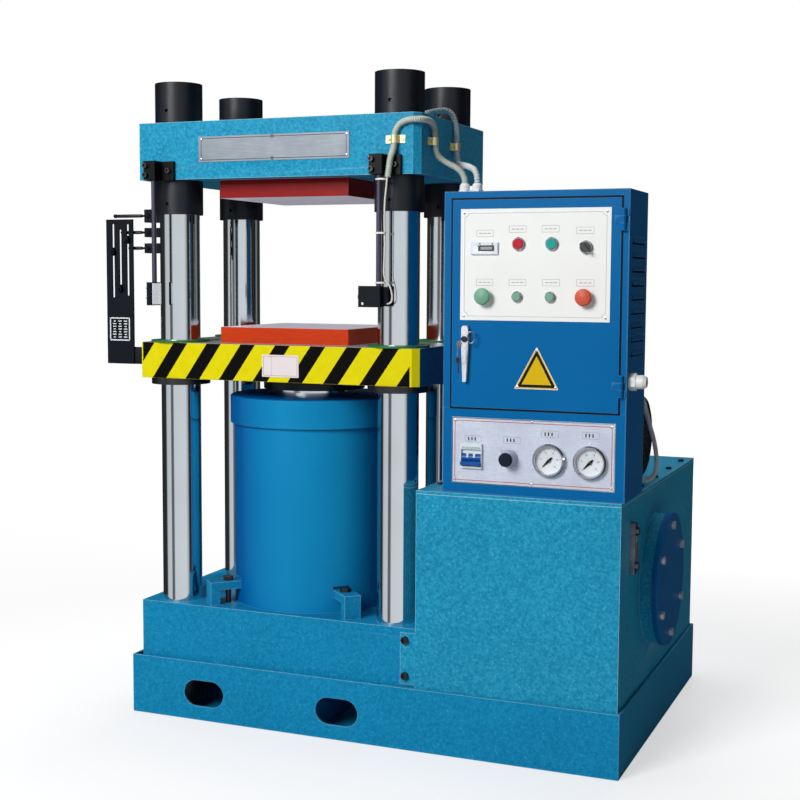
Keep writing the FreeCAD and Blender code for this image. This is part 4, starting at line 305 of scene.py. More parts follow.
def worked_steel(name, tone, dark, rough, grain, stretch, metal=1.0):
    """Bare steel: slight staining and fine tool marks, which are grain millimetres across, coarser than the
    real ones, and which stretch draws out or presses together along each axis."""
    material, tree, shader, place = start(name)
    along = node(tree, "Mapping", {"Vector": place, "Scale": stretch})
    marks = node(tree, "TexNoise", {"Vector": along.outputs[0], "Scale": 1 / (grain * MM), "Detail": 3.0})
    stain = node(tree, "TexNoise", {"Vector": place, "Scale": 1 / 0.05, "Detail": 4.0})
    blend = node(tree, "Math", {0: marks.outputs[0], 1: stain.outputs[0]}, operation="MULTIPLY")
    share = node(tree, "MapRange", {"Value": blend.outputs[0], "From Min": 0.12, "From Max": 0.4})
    colour = node(tree, "Mix", {0: share.outputs[0], 6: paint(dark), 7: paint(tone)}, data_type="RGBA")
    polish = node(tree, "MapRange", {"Value": marks.outputs[0], "To Min": rough * 0.7, "To Max": rough * 1.3})
    relief = node(tree, "Bump", {"Height": marks.outputs[0], "Strength": 0.08, "Distance": 0.0003})
    feed(tree, shader, Base_Color=colour.outputs[2], Metallic=metal, Roughness=polish.outputs[0],
         Normal=relief.outputs[0])
    return material


def hard_chrome():
    """Hard chrome on a ground rod: a mirror with fine rings left by the grinding wheel, drawn 2 mm apart,
    and a thin film of oil that dulls it in patches."""
    material, tree, shader, place = start("hard chrome on a ground rod")
    along = node(tree, "Mapping", {"Vector": place, "Scale": (1, 1, 30)})
    rings = node(tree, "TexNoise", {"Vector": along.outputs[0], "Scale": 1 / 0.06, "Detail": 2.0})
    film = node(tree, "TexNoise", {"Vector": place, "Scale": 1 / 0.12, "Detail": 3.0})
    colour = node(tree, "Mix", {0: film.outputs[0], 6: paint("#C6CFD2"), 7: paint("#D8E0E2")},
                  data_type="RGBA")
    polish = node(tree, "MapRange", {"Value": film.outputs[0], "From Min": 0.3, "From Max": 0.7,
                                     "To Min": 0.05, "To Max": 0.12})
    relief = node(tree, "Bump", {"Height": rings.outputs[0], "Strength": 0.03, "Distance": 0.0002})
    feed(tree, shader, Base_Color=colour.outputs[2], Metallic=1.0, Roughness=polish.outputs[0],
         Normal=relief.outputs[0])
    return material


def blackened_steel(name, tone, wear_and_highlight, rough, gloss):
    """Hot blackened steel: an oiled black oxide skin with a soft sheen, grey at its corners, partly rubbed
    and partly a painted highlight.
    """
    material, tree, shader, place = start(name)
    grain = node(tree, "TexNoise", {"Vector": place, "Scale": 1 / 0.004, "Detail": 3.0})
    cloud = node(tree, "TexNoise", {"Vector": place, "Scale": 1 / 0.04, "Detail": 3.0})
    base = node(tree, "Mix", {0: cloud.outputs[0], 6: paint("#050608"), 7: paint(tone)}, data_type="RGBA")
    colour = node(tree, "Mix", {0: worn_corner(tree, 1.2, 0.5), 6: base.outputs[2], 7: paint(wear_and_highlight)},
                  data_type="RGBA")
    sheen = node(tree, "MapRange", {"Value": grain.outputs[0], "To Min": rough - 0.08, "To Max": rough + 0.1})
    relief = node(tree, "Bump", {"Height": grain.outputs[0], "Strength": 0.1, "Distance": 0.0003})
    feed(tree, shader, Base_Color=colour.outputs[2], Roughness=sheen.outputs[0], Normal=relief.outputs[0],
         Specular_IOR_Level=gloss)
    return material


def moulded(name, tone, shade, rough, gloss=0.5, painted_glow=0.0):
    """Injection moulded plastic: an even colour with a fine spark eroded grain, drawn at 1.5 mm, and a soft
    highlight. Prisms return a share of the light to where it came from; painted_glow gives their sheet a glow
    of its own colour, painted light, so that it looks pale even in shade."""
    material, tree, shader, place = start(name)
    texture = node(tree, "TexNoise", {"Vector": place, "Scale": 1 / 0.0015, "Detail": 2.0})
    cloud = node(tree, "TexNoise", {"Vector": place, "Scale": 1 / 0.03, "Detail": 2.0})
    colour = node(tree, "Mix", {0: cloud.outputs[0], 6: paint(shade), 7: paint(tone)}, data_type="RGBA")
    satin = node(tree, "MapRange", {"Value": texture.outputs[0], "To Min": rough - 0.06,
                                    "To Max": rough + 0.08})
    relief = node(tree, "Bump", {"Height": texture.outputs[0], "Strength": 0.1, "Distance": 0.0002})
    # emission at painted_glow is painted light; it is zero for all but the prism sheet
    feed(tree, shader, Base_Color=colour.outputs[2], Roughness=satin.outputs[0], Normal=relief.outputs[0],
         Specular_IOR_Level=gloss, Emission_Color=colour.outputs[2], Emission_Strength=painted_glow)
    return material


def faces_towards(tree, axis, low, high):
    """1 where the surface faces along an axis of the object, 0 where it doesn't."""
    normal = node(tree, "SeparateXYZ", {0: node(tree, "TexCoord").outputs["Normal"]})
    return node(tree, "MapRange", {"Value": normal.outputs[axis], "From Min": low,
                                   "From Max": high}).outputs[0]


def painted_platen(name, deep, tone):
    """Gloss enamel brushed on the sides of a platen, with its working faces ground bare: bright steel
    that carries the grinder's straight marks, drawn 3 mm apart. A little light of its own stands for the
    white surroundings that such a face mirrors."""
    material, tree, shader, place = start(name)
    brush = node(tree, "Mapping", {"Vector": place, "Scale": (0.12, 0.12, 1)})
    strokes = node(tree, "TexNoise", {"Vector": brush.outputs[0], "Scale": 1 / 0.004, "Detail": 3.0})
    enamel = node(tree, "Mix", {0: strokes.outputs[0], 6: paint(deep), 7: paint(tone)}, data_type="RGBA")
    ground = node(tree, "Mapping", {"Vector": place, "Scale": (1, 0.05, 1)})
    marks = node(tree, "TexNoise", {"Vector": ground.outputs[0], "Scale": 1 / 0.003, "Detail": 2.0})
    steel = node(tree, "Mix", {0: marks.outputs[0], 6: paint("#B2AEBA"), 7: paint("#D8D5E0")},
                 data_type="RGBA")
    up = faces_towards(tree, "Z", 0.5, 0.8)
    down = faces_towards(tree, "Z", -0.5, -0.8)
    bare = node(tree, "Math", {0: up, 1: down}, operation="MAXIMUM").outputs[0]
    colour = node(tree, "Mix", {0: bare, 6: enamel.outputs[2], 7: steel.outputs[2]}, data_type="RGBA")
    metal = node(tree, "Math", {0: bare, 1: 0.12}, operation="MULTIPLY")
    # pale corners: partly wear, partly a painted highlight
    wear_and_highlight = node(tree, "Mix", {0: worn_corner(tree, 1.2, 0.4), 6: colour.outputs[2], 7: paint("#C98A78")},
                data_type="RGBA")
    relief = node(tree, "Bump", {"Height": strokes.outputs[0], "Strength": 0.12, "Distance": 0.0004})
    # painted reflection: the ground faces glow with 0.3 of their steel colour
    sheen = node(tree, "Math", {0: bare, 1: 0.3}, operation="MULTIPLY")
    feed(tree, shader, Base_Color=wear_and_highlight.outputs[2], Metallic=metal.outputs[0], Roughness=0.36,
         Normal=relief.outputs[0], Specular_IOR_Level=0.16, Emission_Color=steel.outputs[2],
         Emission_Strength=sheen.outputs[0])
    return material


# hazard bands on the table's front: the distance between two bands, a band's width and lean, where one
# starts on the table's lower edge, and where the painted length begins and ends
BAND_PITCH, BAND_WIDTH, BAND_LEAN = 95.0, 40.0, 62.5 / 90.0
BAND_START, BAND_FOOT = -343.9, box("moving_table")[0][2]
BANDS_FROM, BANDS_END = box("moving_table")[0][0] + 4.0, box("moving_table")[1][0] - 20.0


def banded_table(deep, tone, pale):
    """The table: enamel on its sides, a machined grey top, and on the front gloss yellow with black bands
    that lean to the right, painted by mask, so that their edges are crisp."""
    material = hammered_enamel("hammer enamel with hazard bands", deep, tone, pale, pale)
    tree = material.node_tree
    shader = next(n for n in tree.nodes if n.type == "BSDF_PRINCIPLED")
    enamel = shader.inputs["Base Color"].links[0].from_socket
    gloss = shader.inputs["Roughness"].links[0].from_socket
    place = node(tree, "SeparateXYZ", {0: node(tree, "TexCoord").outputs["Object"]})
    rise = node(tree, "Math", {0: place.outputs["Z"], 1: -BAND_FOOT * MM}, operation="ADD")
    lean = node(tree, "Math", {0: rise.outputs[0], 1: BAND_LEAN}, operation="MULTIPLY")
    along = node(tree, "Math", {0: place.outputs["X"], 1: lean.outputs[0]}, operation="SUBTRACT")
    count = node(tree, "Math", {0: along.outputs[0], 1: BAND_START * MM}, operation="SUBTRACT")
    turn = node(tree, "Math", {0: count.outputs[0], 1: BAND_PITCH * MM}, operation="DIVIDE")
    share = node(tree, "Math", {0: turn.outputs[0]}, operation="FRACT")
    band = node(tree, "Math", {0: share.outputs[0], 1: BAND_WIDTH / BAND_PITCH}, operation="LESS_THAN")
    inside = node(tree, "Math", {0: place.outputs["X"], 1: BANDS_END * MM}, operation="LESS_THAN")
    past = node(tree, "Math", {0: place.outputs["X"], 1: BANDS_FROM * MM}, operation="GREATER_THAN")
    painted = node(tree, "Math", {0: inside.outputs[0], 1: past.outputs[0]}, operation="MULTIPLY")
    flat = node(tree, "Math", {0: faces_towards(tree, "Y", -0.85, -0.9), 1: painted.outputs[0]},
                operation="MULTIPLY")
    black = node(tree, "Math", {0: band.outputs[0], 1: flat.outputs[0]}, operation="MULTIPLY")
    spot = node(tree, "TexCoord").outputs["Object"]
    cloud = node(tree, "TexNoise", {"Vector": spot, "Scale": 1 / 0.02, "Detail": 4.0})
    yellow = node(tree, "Mix", {0: cloud.outputs[0], 6: paint("#DDD008"), 7: paint("#EBE012")},
                  data_type="RGBA")
    bands = node(tree, "Mix", {0: black.outputs[0], 6: yellow.outputs[2], 7: paint("#050505")},
                 data_type="RGBA")
    facing = faces_towards(tree, "Y", -0.5, -0.6)
    sides = node(tree, "Mix", {0: facing, 6: enamel, 7: bands.outputs[2]}, data_type="RGBA")
    cut = node(tree, "Mapping", {"Vector": spot, "Scale": (0.05, 1, 1)})
    marks = node(tree, "TexNoise", {"Vector": cut.outputs[0], "Scale": 1 / 0.003, "Detail": 2.0})
    steel = node(tree, "Mix", {0: marks.outputs[0], 6: paint("#8A8C96"), 7: paint("#B0B2BC")},
                 data_type="RGBA")
    up = faces_towards(tree, "Z", 0.5, 0.8)
    colour = node(tree, "Mix", {0: up, 6: sides.outputs[2], 7: steel.outputs[2]}, data_type="RGBA")
    metal = node(tree, "Math", {0: up, 1: 0.2}, operation="MULTIPLY")
    polish = node(tree, "Mix", {0: facing, 2: gloss, 3: 0.3})
    feed(tree, shader, Base_Color=colour.outputs[2], Metallic=metal.outputs[0], Roughness=polish.outputs[0])
    return material


def split_finish(name, first, second, axis, low, high, rough, metal=(0.0, 0.0), gloss=0.5):
    """Two finishes on one set of parts, which change along an axis of the object between two places."""
    material, tree, shader, place = start(name)
    where = node(tree, "SeparateXYZ", {0: place})
    share = node(tree, "MapRange", {"Value": where.outputs[axis], "From Min": low * MM,
                                    "From Max": high * MM})
    grain = node(tree, "TexNoise", {"Vector": place, "Scale": 1 / 0.003, "Detail": 3.0})
    tint = node(tree, "MapRange", {"Value": grain.outputs[0], "To Min": 0.85, "To Max": 1.1})
    both = node(tree, "Mix", {0: share.outputs[0], 6: paint(first), 7: paint(second)}, data_type="RGBA")
    colour = node(tree, "VectorMath", {0: both.outputs[2], "Scale": tint.outputs[0]}, operation="SCALE")
    polish = node(tree, "MapRange", {"Value": share.outputs[0], "To Min": rough[0], "To Max": rough[1]})
    metallic = metal[0]
    if metal[1] != metal[0]:
        metallic = node(tree, "MapRange", {"Value": share.outputs[0], "To Min": metal[0],
                                           "To Max": metal[1]}).outputs[0]
    relief = node(tree, "Bump", {"Height": grain.outputs[0], "Strength": 0.1, "Distance": 0.0002})
    feed(tree, shader, Base_Color=colour.outputs[0], Roughness=polish.outputs[0], Metallic=metallic,
         Normal=relief.outputs[0], Specular_IOR_Level=gloss)
    return material


# where the oil stands in the level gauge
OIL_LEVEL = 520.0


def clear_tube():
    """Clear acrylic over oil in the level gauge: glossy, dark amber up to the oil's level and grey above."""
    material, tree, shader, place = start("clear acrylic over oil")
    height = node(tree, "SeparateXYZ", {0: place})
    above = node(tree, "MapRange", {"Value": height.outputs["Z"], "From Min": OIL_LEVEL * MM,
                                    "From Max": (OIL_LEVEL + 1.5) * MM})
    haze = node(tree, "TexNoise", {"Vector": place, "Scale": 1 / 0.01, "Detail": 2.0})
    amber = node(tree, "Mix", {0: haze.outputs[0], 6: paint("#3E2C10"), 7: paint("#5A4218")},
                 data_type="RGBA")
    colour = node(tree, "Mix", {0: above.outputs[0], 6: amber.outputs[2], 7: paint("#6E787E")},
                  data_type="RGBA")
    feed(tree, shader, Base_Color=colour.outputs[2], Roughness=0.12, Specular_IOR_Level=0.6, Coat_Weight=0.6,
         Coat_Roughness=0.05)
    return material


ENAMEL = hammered_enamel("teal hammer enamel", "#1482AC", "#2AA2C8", "#9ED4E2", "#C4E6EE")
BASE_ENAMEL = hammered_enamel("blue hammer enamel", "#0B7BAA", "#1590C0", "#74BEDA", "#A8DCEA")
CABINET_ENAMEL = stoved_enamel("blue stoved enamel", "#00629E", "#006AAA", "#7FB6DA")
# the cylinder's sides darken towards its outline: painted shade
CYLINDER_ENAMEL = stoved_enamel("blue brushed enamel", "#0A82B8", "#1290C6", "#7FC0E0", rough=0.38,
                                painted_rim_shade="#005C9E")
PANEL_ENAMEL = stoved_enamel("white stoved enamel", "#F0F2F0", "#F8F9F7", "#FFFFFF", rough=0.4, reach=1.0)
MOTOR_ENAMEL = stoved_enamel("dark grey machine enamel", "#1B1E22", "#2A2E33", "#565C62", rough=0.45)
UPPER_RED = painted_platen("dark red gloss enamel", "#780B0C", "#A01214")
LOWER_RED = painted_platen("orange red gloss enamel", "#BC3008", "#D84412")
TABLE_FINISH = banded_table("#0E4E78", "#1A6A96", "#5CA4C8")
CHROME = hard_chrome()
BLACK_STEEL = blackened_steel("blackened steel", "#131A26", "#3A424C", 0.38, 0.3)
BLUE_STEEL = blackened_steel("blue black painted steel", "#0A1420", "#2A3846", 0.45, 0.12)
ROD_STEEL = worked_steel("ground silver steel", "#A6A2B2", "#6C6A78", 0.3, 1.0, (1, 1, 12))
NAME_STEEL = worked_steel("brushed aluminium", "#929BA4", "#7C858E", 0.45, 2.0, (0.04, 1, 1), 0.15)
STRIP_STEEL = worked_steel("silver anodised aluminium", "#D2DAEA", "#C0C8DA", 0.42, 2.5, (0.3, 1, 1), 0.15)
BRIGHT_METAL = worked_steel("nickel plated brass", "#DADCDE", "#A8AAAE", 0.16, 1.5, (1, 1, 1))
PIPE_STEEL = worked_steel("cold drawn steel pipe", "#8E9298", "#5C6066", 0.34, 1.5, (1, 1, 0.2))
FITTINGS = split_finish("zinc saddles and nylon glands", "#E4DAA4", "#ECEEEA", "X", 410, 418, (0.32, 0.42),
                        (0.45, 0.0))
BUSHES = split_finish("black bushes with green painted flanges", "#0E0F11", "#1F6B34", "Z", 951, 952,
                      (0.35, 0.45))
KNOB = split_finish("blue black cap on a silver knob", "#0C1C2A", "#B4B4C8", "Y", -249, -248, (0.35, 0.3),
                    (0.0, 0.2), 0.2)
SCREWS = split_finish("black screws, zinc ones on the cover", "#101318", "#C4C8CC", "X", 886, 888, (0.4, 0.3),
                      (0.0, 0.4))
RODS_AND_CLAMPS = split_finish("silver rods under black clamps", "#4E4B5A", "#0A0B0D", "Z", 1351, 1353,
                               (0.34, 0.4), (0.6, 0.0), 0.12)
RUBBER = moulded("nitrile rubber", "#0D0D0E", "#060606", 0.5)
STOP_RED = moulded("signal red acetal", "#CE0D30", "#B00826", 0.28, gloss=0.25)
OPEN_RED = moulded("orange red acetal", "#DC6448", "#CC563E", 0.3, gloss=0.25)
START_GREEN = moulded("teal green acetal", "#0CA69A", "#0A9088", 0.28, gloss=0.25)
PALE_GREEN = moulded("pale green acetal", "#7CB198", "#6CA389", 0.32, gloss=0.3)
BLACK_PLASTIC = moulded("black nylon", "#1B1C1F", "#101113", 0.38)
WHITE_PLASTIC = moulded("white polycarbonate", "#E4E9EE", "#D8DEE4", 0.34)
BLUE_PLASTIC = moulded("blue nylon", "#0C5CAC", "#084A90", 0.34, gloss=0.3)
CONDUIT_GREY = moulded("grey ribbed polyamide", "#D8DEDE", "#AEB6B6", 0.36, gloss=0.3)
CONDUIT_PALE = moulded("pale ribbed polyamide", "#D6DCD2", "#AEB5AB", 0.36, gloss=0.3)
CABLE_CREAM = moulded("cream PVC sheath", "#E8E4D8", "#D4CFC2", 0.42)
NYLON_WHITE = moulded("natural nylon", "#ECECE6", "#DADAD2", 0.4)
DIAL_WHITE = moulded("white printed dial", "#E4EAF0", "#D8DFE6", 0.45)
INK = moulded("black ink", "#070708", "#040405", 0.5, gloss=0.12)
HANDLE = worked_steel("chrome plated handle", "#F2F4F6", "#CDD1D6", 0.3, 2.0, (1, 1, 0.3), 0.2)
GREY_INK = moulded("grey ink", "#9A9A9C", "#86868A", 0.5)
RED_INK = moulded("red ink", "#C64438", "#B23A30", 0.5)
SIGN_YELLOW = stoved_enamel("yellow enamelled sign", "#D6B012", "#E4C01E", "#F0E4A0", rough=0.3)
# the prism sheet glows with 0.6 of its colour: painted light
PRISM_GREY = moulded("grey prism sheet", "#D4D6DC", "#C4C7CE", 0.3, gloss=0.4, painted_glow=0.6)
SIGN_PALE = stoved_enamel("pale printed aluminium", "#E4D9DA", "#EFE6E6", "#F8F4F4", rough=0.36)
GAUGE_TUBE = clear_tube()


# ---------------------------------------------------------------- modelling
# an edge is sharp, and stays unsmoothed, when its faces meet at more than this many degrees
SHARP = 35


def begin(name, kind, place, turn=(0, 0, 0), stretch=(1, 1, 1), **shape):
    """Adds a primitive at its place, turned and stretched, alone in edit mode."""
    bpy.ops.object.select_all(action="DESELECT")
    getattr(bpy.ops.mesh, f"primitive_{kind}_add")(location=Vector(place) * MM, rotation=turn, **shape)
    piece = bpy.context.object
    piece.name = piece.data.name = name
    piece.scale = stretch
    bpy.ops.object.transform_apply(location=True, rotation=True, scale=True)
    bpy.ops.object.mode_set(mode="EDIT")
    return piece


def pick(test, kind="FACE"):
    """In edit mode, selects the faces, edges or vertices for which the test holds, and nothing else."""
    bpy.ops.mesh.select_all(action="DESELECT")
    bpy.ops.mesh.select_mode(type=kind)
    mesh = bmesh.from_edit_mesh(bpy.context.edit_object.data)
    for part in {"FACE": mesh.faces, "EDGE": mesh.edges, "VERT": mesh.verts}[kind]:
        if test(part):
            part.select_set(True)
    mesh.select_flush_mode()
    bmesh.update_edit_mesh(bpy.context.edit_object.data)


def all_faces():
    """In edit mode, selects every face."""
    bpy.ops.mesh.select_mode(type="FACE")
    bpy.ops.mesh.select_all(action="SELECT")


def front(face):
    """Whether a face looks to the front of the press."""
    return face.normal.y < -0.9


def front_disc(face):
    """Whether a face is the flat end of a round piece that looks to the front."""
    return front(face) and len(face.verts) > 8


def ease(test, width, segments=2):
    """Bevels the edges of the faces for which the test holds."""
    pick(test)
    bpy.ops.mesh.bevel(offset=width * MM, segments=segments, affect="EDGES")


def sink(rim, slope, deep):
    """Leaves a rim round the picked face and sinks its middle, or raises it where deep is negative."""
    bpy.ops.mesh.inset(thickness=rim * MM)
    bpy.ops.mesh.inset(thickness=slope * MM, depth=-deep * MM)


def close(piece, finish, body=None, smooth=SHARP):
    """Turns the faces outward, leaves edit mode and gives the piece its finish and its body."""
    all_faces()
    bpy.ops.mesh.normals_make_consistent(inside=False)
    bpy.ops.object.mode_set(mode="OBJECT")
    bpy.ops.object.shade_smooth_by_angle(angle=math.radians(smooth))
    piece.data.materials.clear()
    piece.data.materials.append(finish)
    if body:
        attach(piece, body)
    return piece


def alone(piece):
    """Selects a piece and nothing else, and makes it the active one."""
    bpy.ops.object.select_all(action="DESELECT")
    piece.select_set(True)
    bpy.context.view_layer.objects.active = piece


def join(pieces, name, body):
    """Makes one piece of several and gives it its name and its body."""
    alone(pieces[0])
    for piece in pieces[1:]:
        piece.select_set(True)
    if len(pieces) > 1:
        bpy.ops.object.join()
    joined = bpy.context.object
    joined.name = joined.data.name = name
    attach(joined, body)


def set_out(master, places, name, body):
    """Copies of a piece modelled at the origin, each moved to its place, joined as one set."""
    copies = []
    for place in places:
        copy = master.copy()
        copy.data = master.data.copy()
        bpy.context.scene.collection.objects.link(copy)
        move = place if isinstance(place, Matrix) else Matrix.Translation(Vector(place) * MM)
        copy.data.transform(move)
        copies.append(copy)
    join(copies, name, body)


def sheet(name, low, high, face, corner=0.0, hollow=False):
    """A flat sheet that looks to the front, with rounded or hollow corners, in edit mode; low and high
    are its X and Z, and face is its Y."""
    wide, tall = high[0] - low[0], high[1] - low[1]
    centre = ((low[0] + high[0]) / 2, face, (low[1] + high[1]) / 2)
    piece = begin(name, "plane", centre, (QUARTER, 0, 0), (wide, tall, 1), size=MM)
    if corner:
        bpy.ops.mesh.select_all(action="SELECT")
        bpy.ops.mesh.bevel(offset=corner * MM, segments=5, profile=0.08 if hollow else 0.5, affect="VERTICES")
    all_faces()
    return piece


def to_line(width, thick):
    """Turns the open sheet into a line of that width round its rim, raised by that thickness."""
    bpy.ops.mesh.inset(thickness=width * MM)
    bpy.ops.mesh.delete(type="FACE")
    bpy.ops.mesh.select_all(action="SELECT")
    bpy.ops.mesh.extrude_region_move(TRANSFORM_OT_translate={"value": (0, -thick * MM, 0)})


def to_plate(thick, chamfer=0.0):
    """Turns the open sheet into a plate of that thickness with a small chamfer round its face."""
    bpy.ops.mesh.extrude_region_move(TRANSFORM_OT_translate={"value": (0, -(thick - chamfer) * MM, 0)})
    if chamfer:
        bpy.ops.mesh.extrude_region_move(TRANSFORM_OT_translate={"value": (0, 0, 0)})
        bpy.ops.mesh.inset(thickness=chamfer * MM, depth=chamfer * MM)


def border(name, low, high, face, width, thick, finish, body, slot, corner=0.0, hollow=False):
    """A thin raised line round a rectangle, such as a plate's printed border."""
    piece = sheet(name, low, high, face, corner, hollow)
    to_line(width, thick)
    return close(piece, finish, body)


# doubles closer than this many metres are merged, and faces flatter than this many degrees are joined
MERGE, FLAT = 0.00001, 0.6


def rounded_node(name, finish, round_off):
    """The node's own shape with its loose faces merged and its sharp edges rounded, so they catch light."""
    cad = NODES[name]
    piece = bpy.data.objects.new(name + "_finished", cad.data.copy())
    bpy.context.scene.collection.objects.link(piece)
    alone(piece)
    bpy.ops.object.mode_set(mode="EDIT")
    bpy.ops.mesh.select_all(action="SELECT")
    bpy.ops.mesh.remove_doubles(threshold=MERGE)
    bpy.ops.mesh.dissolve_limited(angle_limit=math.radians(FLAT))
    bpy.ops.object.mode_set(mode="OBJECT")
    bpy.ops.object.shade_smooth_by_angle(angle=math.radians(SHARP))
    rounding = piece.modifiers.new("rounding", "BEVEL")
    rounding.limit_method = "ANGLE"
    rounding.angle_limit = math.radians(SHARP)
    rounding.width = round_off * MM
    rounding.segments = 2
    rounding.use_clamp_overlap = True
    rounding.harden_normals = True
    bpy.ops.object.modifier_apply(modifier=rounding.name)
    piece.data.materials.clear()
    piece.data.materials.append(finish)
    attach(piece, cad["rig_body"])
    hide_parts(name)


# each part: its finish, its material slot and the round on its edges in millimetres, or None to keep the node
PARTS = {
    "base_tray": (BASE_ENAMEL, "hammered_blue", 1.2),
    "bolster": (BASE_ENAMEL, "hammered_blue", 1.2),
    "cylinder_clamps": (BASE_ENAMEL, "hammered_blue", 0.8),
    "crosshead": (ENAMEL, "hammered_blue", 1.2),
    "tank_shell": (ENAMEL, "hammered_blue", 1.0),
    "tank_lid": (ENAMEL, "hammered_blue", 0.8),
    "cleaning_cover": (CABINET_ENAMEL, "hammered_blue", 0.8),
    "moving_table": (TABLE_FINISH, "hammered_blue", 1.0),
    "cylinder_body": (CYLINDER_ENAMEL, "cylinder_blue", None),
    "cylinder_gland": (CYLINDER_ENAMEL, "cylinder_blue", 1.0),
    "cabinet_shell": (CABINET_ENAMEL, "cabinet_blue", 0.6),
    "cabinet_door": (CABINET_ENAMEL, "cabinet_blue", 0.8),
    "door_hinges": (CABINET_ENAMEL, "cabinet_blue", None),
    "upper_platen": (UPPER_RED, "platen_red", 1.0),
    "lower_platen": (LOWER_RED, "platen_red", 1.0),
    "columns": (CHROME, "hard_chrome", None),
    "ram": (CHROME, "hard_chrome", None),
    "column_nuts": (BLACK_STEEL, "blackened_steel", None),
    "screws": (SCREWS, "blackened_steel", None),
    "ram_flange": (BLACK_STEEL, "blackened_steel", 0.8),
    "guide_bushes": (BUSHES, "blackened_steel", None),
    "sensor_heads": (BLUE_STEEL, "blackened_steel", None),
    "limit_plate": (BLUE_STEEL, "blackened_steel", 0.5),
    "limit_dogs": (BLUE_STEEL, "blackened_steel", None),
    "limit_rail": (BLUE_STEEL, "blackened_steel", 0.5),
    "limit_lever_1": (BLUE_STEEL, "blackened_steel", None),
    "limit_lever_2": (BLUE_STEEL, "blackened_steel", None),
    "limit_lever_3": (BLUE_STEEL, "blackened_steel", None),
    "sensor_stands": (RODS_AND_CLAMPS, "bright_steel", None),
    "instrument_strip": (STRIP_STEEL, "bright_steel", 0.4),
    "nameplate": (NAME_STEEL, "bright_steel", 0.5),
    "cylinder_seals": (RUBBER, "seal_rubber", None),
    "motor": (MOTOR_ENAMEL, "pump_grey", None),
    "pump": (MOTOR_ENAMEL, "pump_grey", 0.8),
    "valve_block": (BLACK_STEEL, "pump_grey", 0.8),
    "oil_pipes": (PIPE_STEEL, "pipe_steel", None),
    "control_panel": (PANEL_ENAMEL, "panel_white", None),
    "stop_button": (STOP_RED, "button_red", None),
    "open_button": (OPEN_RED, "button_red", None),
    "start_button": (START_GREEN, "button_green", None),
    "close_button": (PALE_GREEN, "button_green", None),
    "rise_button": (PALE_GREEN, "button_pale_green", None),
    "lower_button": (PALE_GREEN, "button_pale_green", None),
    "selector_knob": (BLACK_PLASTIC, "control_black", 0.4),
    "counter": (WHITE_PLASTIC, "control_black", 0.4),
    "pressure_knob": (KNOB, "control_black", None),
    "limit_switches": (BLUE_STEEL, "control_black", 0.6),
    "gauge_pointer_left": (INK, "control_black", None),
    "gauge_pointer_right": (INK, "control_black", None),
    "button_bezels": (BRIGHT_METAL, "bezel_metal", None),
    "pressure_gauges": (BRIGHT_METAL, "bezel_metal", None),
    "level_gauge": (PIPE_STEEL, "bezel_metal", None),
    "lock_handle": (HANDLE, "bezel_metal", 1.4),
    "breaker_toggle": (BLUE_PLASTIC, "toggle_blue", 0.4),
    "breaker_body": (WHITE_PLASTIC, "breaker_grey", 0.5),
    "conduit_fittings": (FITTINGS, "fitting_nylon", None),
}


def finish_parts():
    """Every part gets its finish, and those with long sharp edges a small round as well."""
    for name, (finish, slot, round_off) in PARTS.items():
        if round_off:
            rounded_node(name, finish, round_off)
        else:
            NODES[name].data.materials.clear()
            NODES[name].data.materials.append(finish)


# ---------------------------------------------------------------- screws and plates
SCREW_RADIUS, SCREW_HEIGHT, SCREW_RECESS = 3.0, 1.4, 0.6


def screw_head():
    """A pan head screw 6 mm across with a round recess, facing the front at the origin."""
    piece = begin("screw_head", "cylinder", (0, -SCREW_HEIGHT / 2, 0), (QUARTER, 0, 0), vertices=18,
                  radius=SCREW_RADIUS * MM, depth=SCREW_HEIGHT * MM)
    ease(front, 0.6)
    pick(front_disc)
    sink(0.9, 0.15, SCREW_RECESS)
    return close(piece, BRIGHT_METAL)


# the triangular sign on the door: its middle, its height and the length of a side
SIGN_ALONG, SIGN_LOW, SIGN_HIGH, SIGN_SIDE = 661.0, 868.0, 964.0, 104.0


def corners(name, inset):
    """The X and Z of four screws, as far in from both edges of a node's front."""
    (left, low), (right, high) = within(name, inset, inset, inset, inset)
    return [(left, low), (right, low), (left, high), (right, high)]


# small screws: the body they ride on, their slot, the face they stand on and the X and Z of each
STRIP_ALONG, STRIP_EDGES = middle("instrument_strip")[0], within("instrument_strip", 6, 6, 6, 6)
PLATE_SCREWS = {
    "nameplate_screws": ("root", "bright_steel", PLATE_FACE, corners("nameplate", 7)),
    "strip_screws": ("root", "bright_steel", STRIP_FACE, corners("instrument_strip", 8)
                     + [(STRIP_ALONG, STRIP_EDGES[1][1]), (STRIP_ALONG, STRIP_EDGES[0][1])]),
    "panel_screws": ("door", "bezel_metal", PANEL_FACE, corners("control_panel", 9)),
    "sign_screws": ("door", "bezel_metal", DOOR_FACE - 1.0,
                    [(SIGN_ALONG, SIGN_HIGH - 9), (SIGN_ALONG - 44, SIGN_LOW + 4.5),
                     (SIGN_ALONG + 44, SIGN_LOW + 4.5)]),
}
# the two gauges and the pressure knob, with the small screws round them
DIAL_RIM, DIAL_PITCH = 38.0, 94.0
DIAL_RIGHT = box("pressure_gauges")[1][0] - DIAL_RIM
DIALS = {"left": DIAL_RIGHT - DIAL_PITCH, "right": DIAL_RIGHT}
DIAL_LEVEL = middle("pressure_gauges")[2]
DIAL_SCREWS = ((0, 42), (-37, -21), (37, -21))
KNOB_ALONG, KNOB_LEVEL = middle("pressure_knob")[0], middle("pressure_knob")[2]
KNOB_SCREW_RING, KNOB_SCREWS = 25.0, (45, 135, 225, 315)


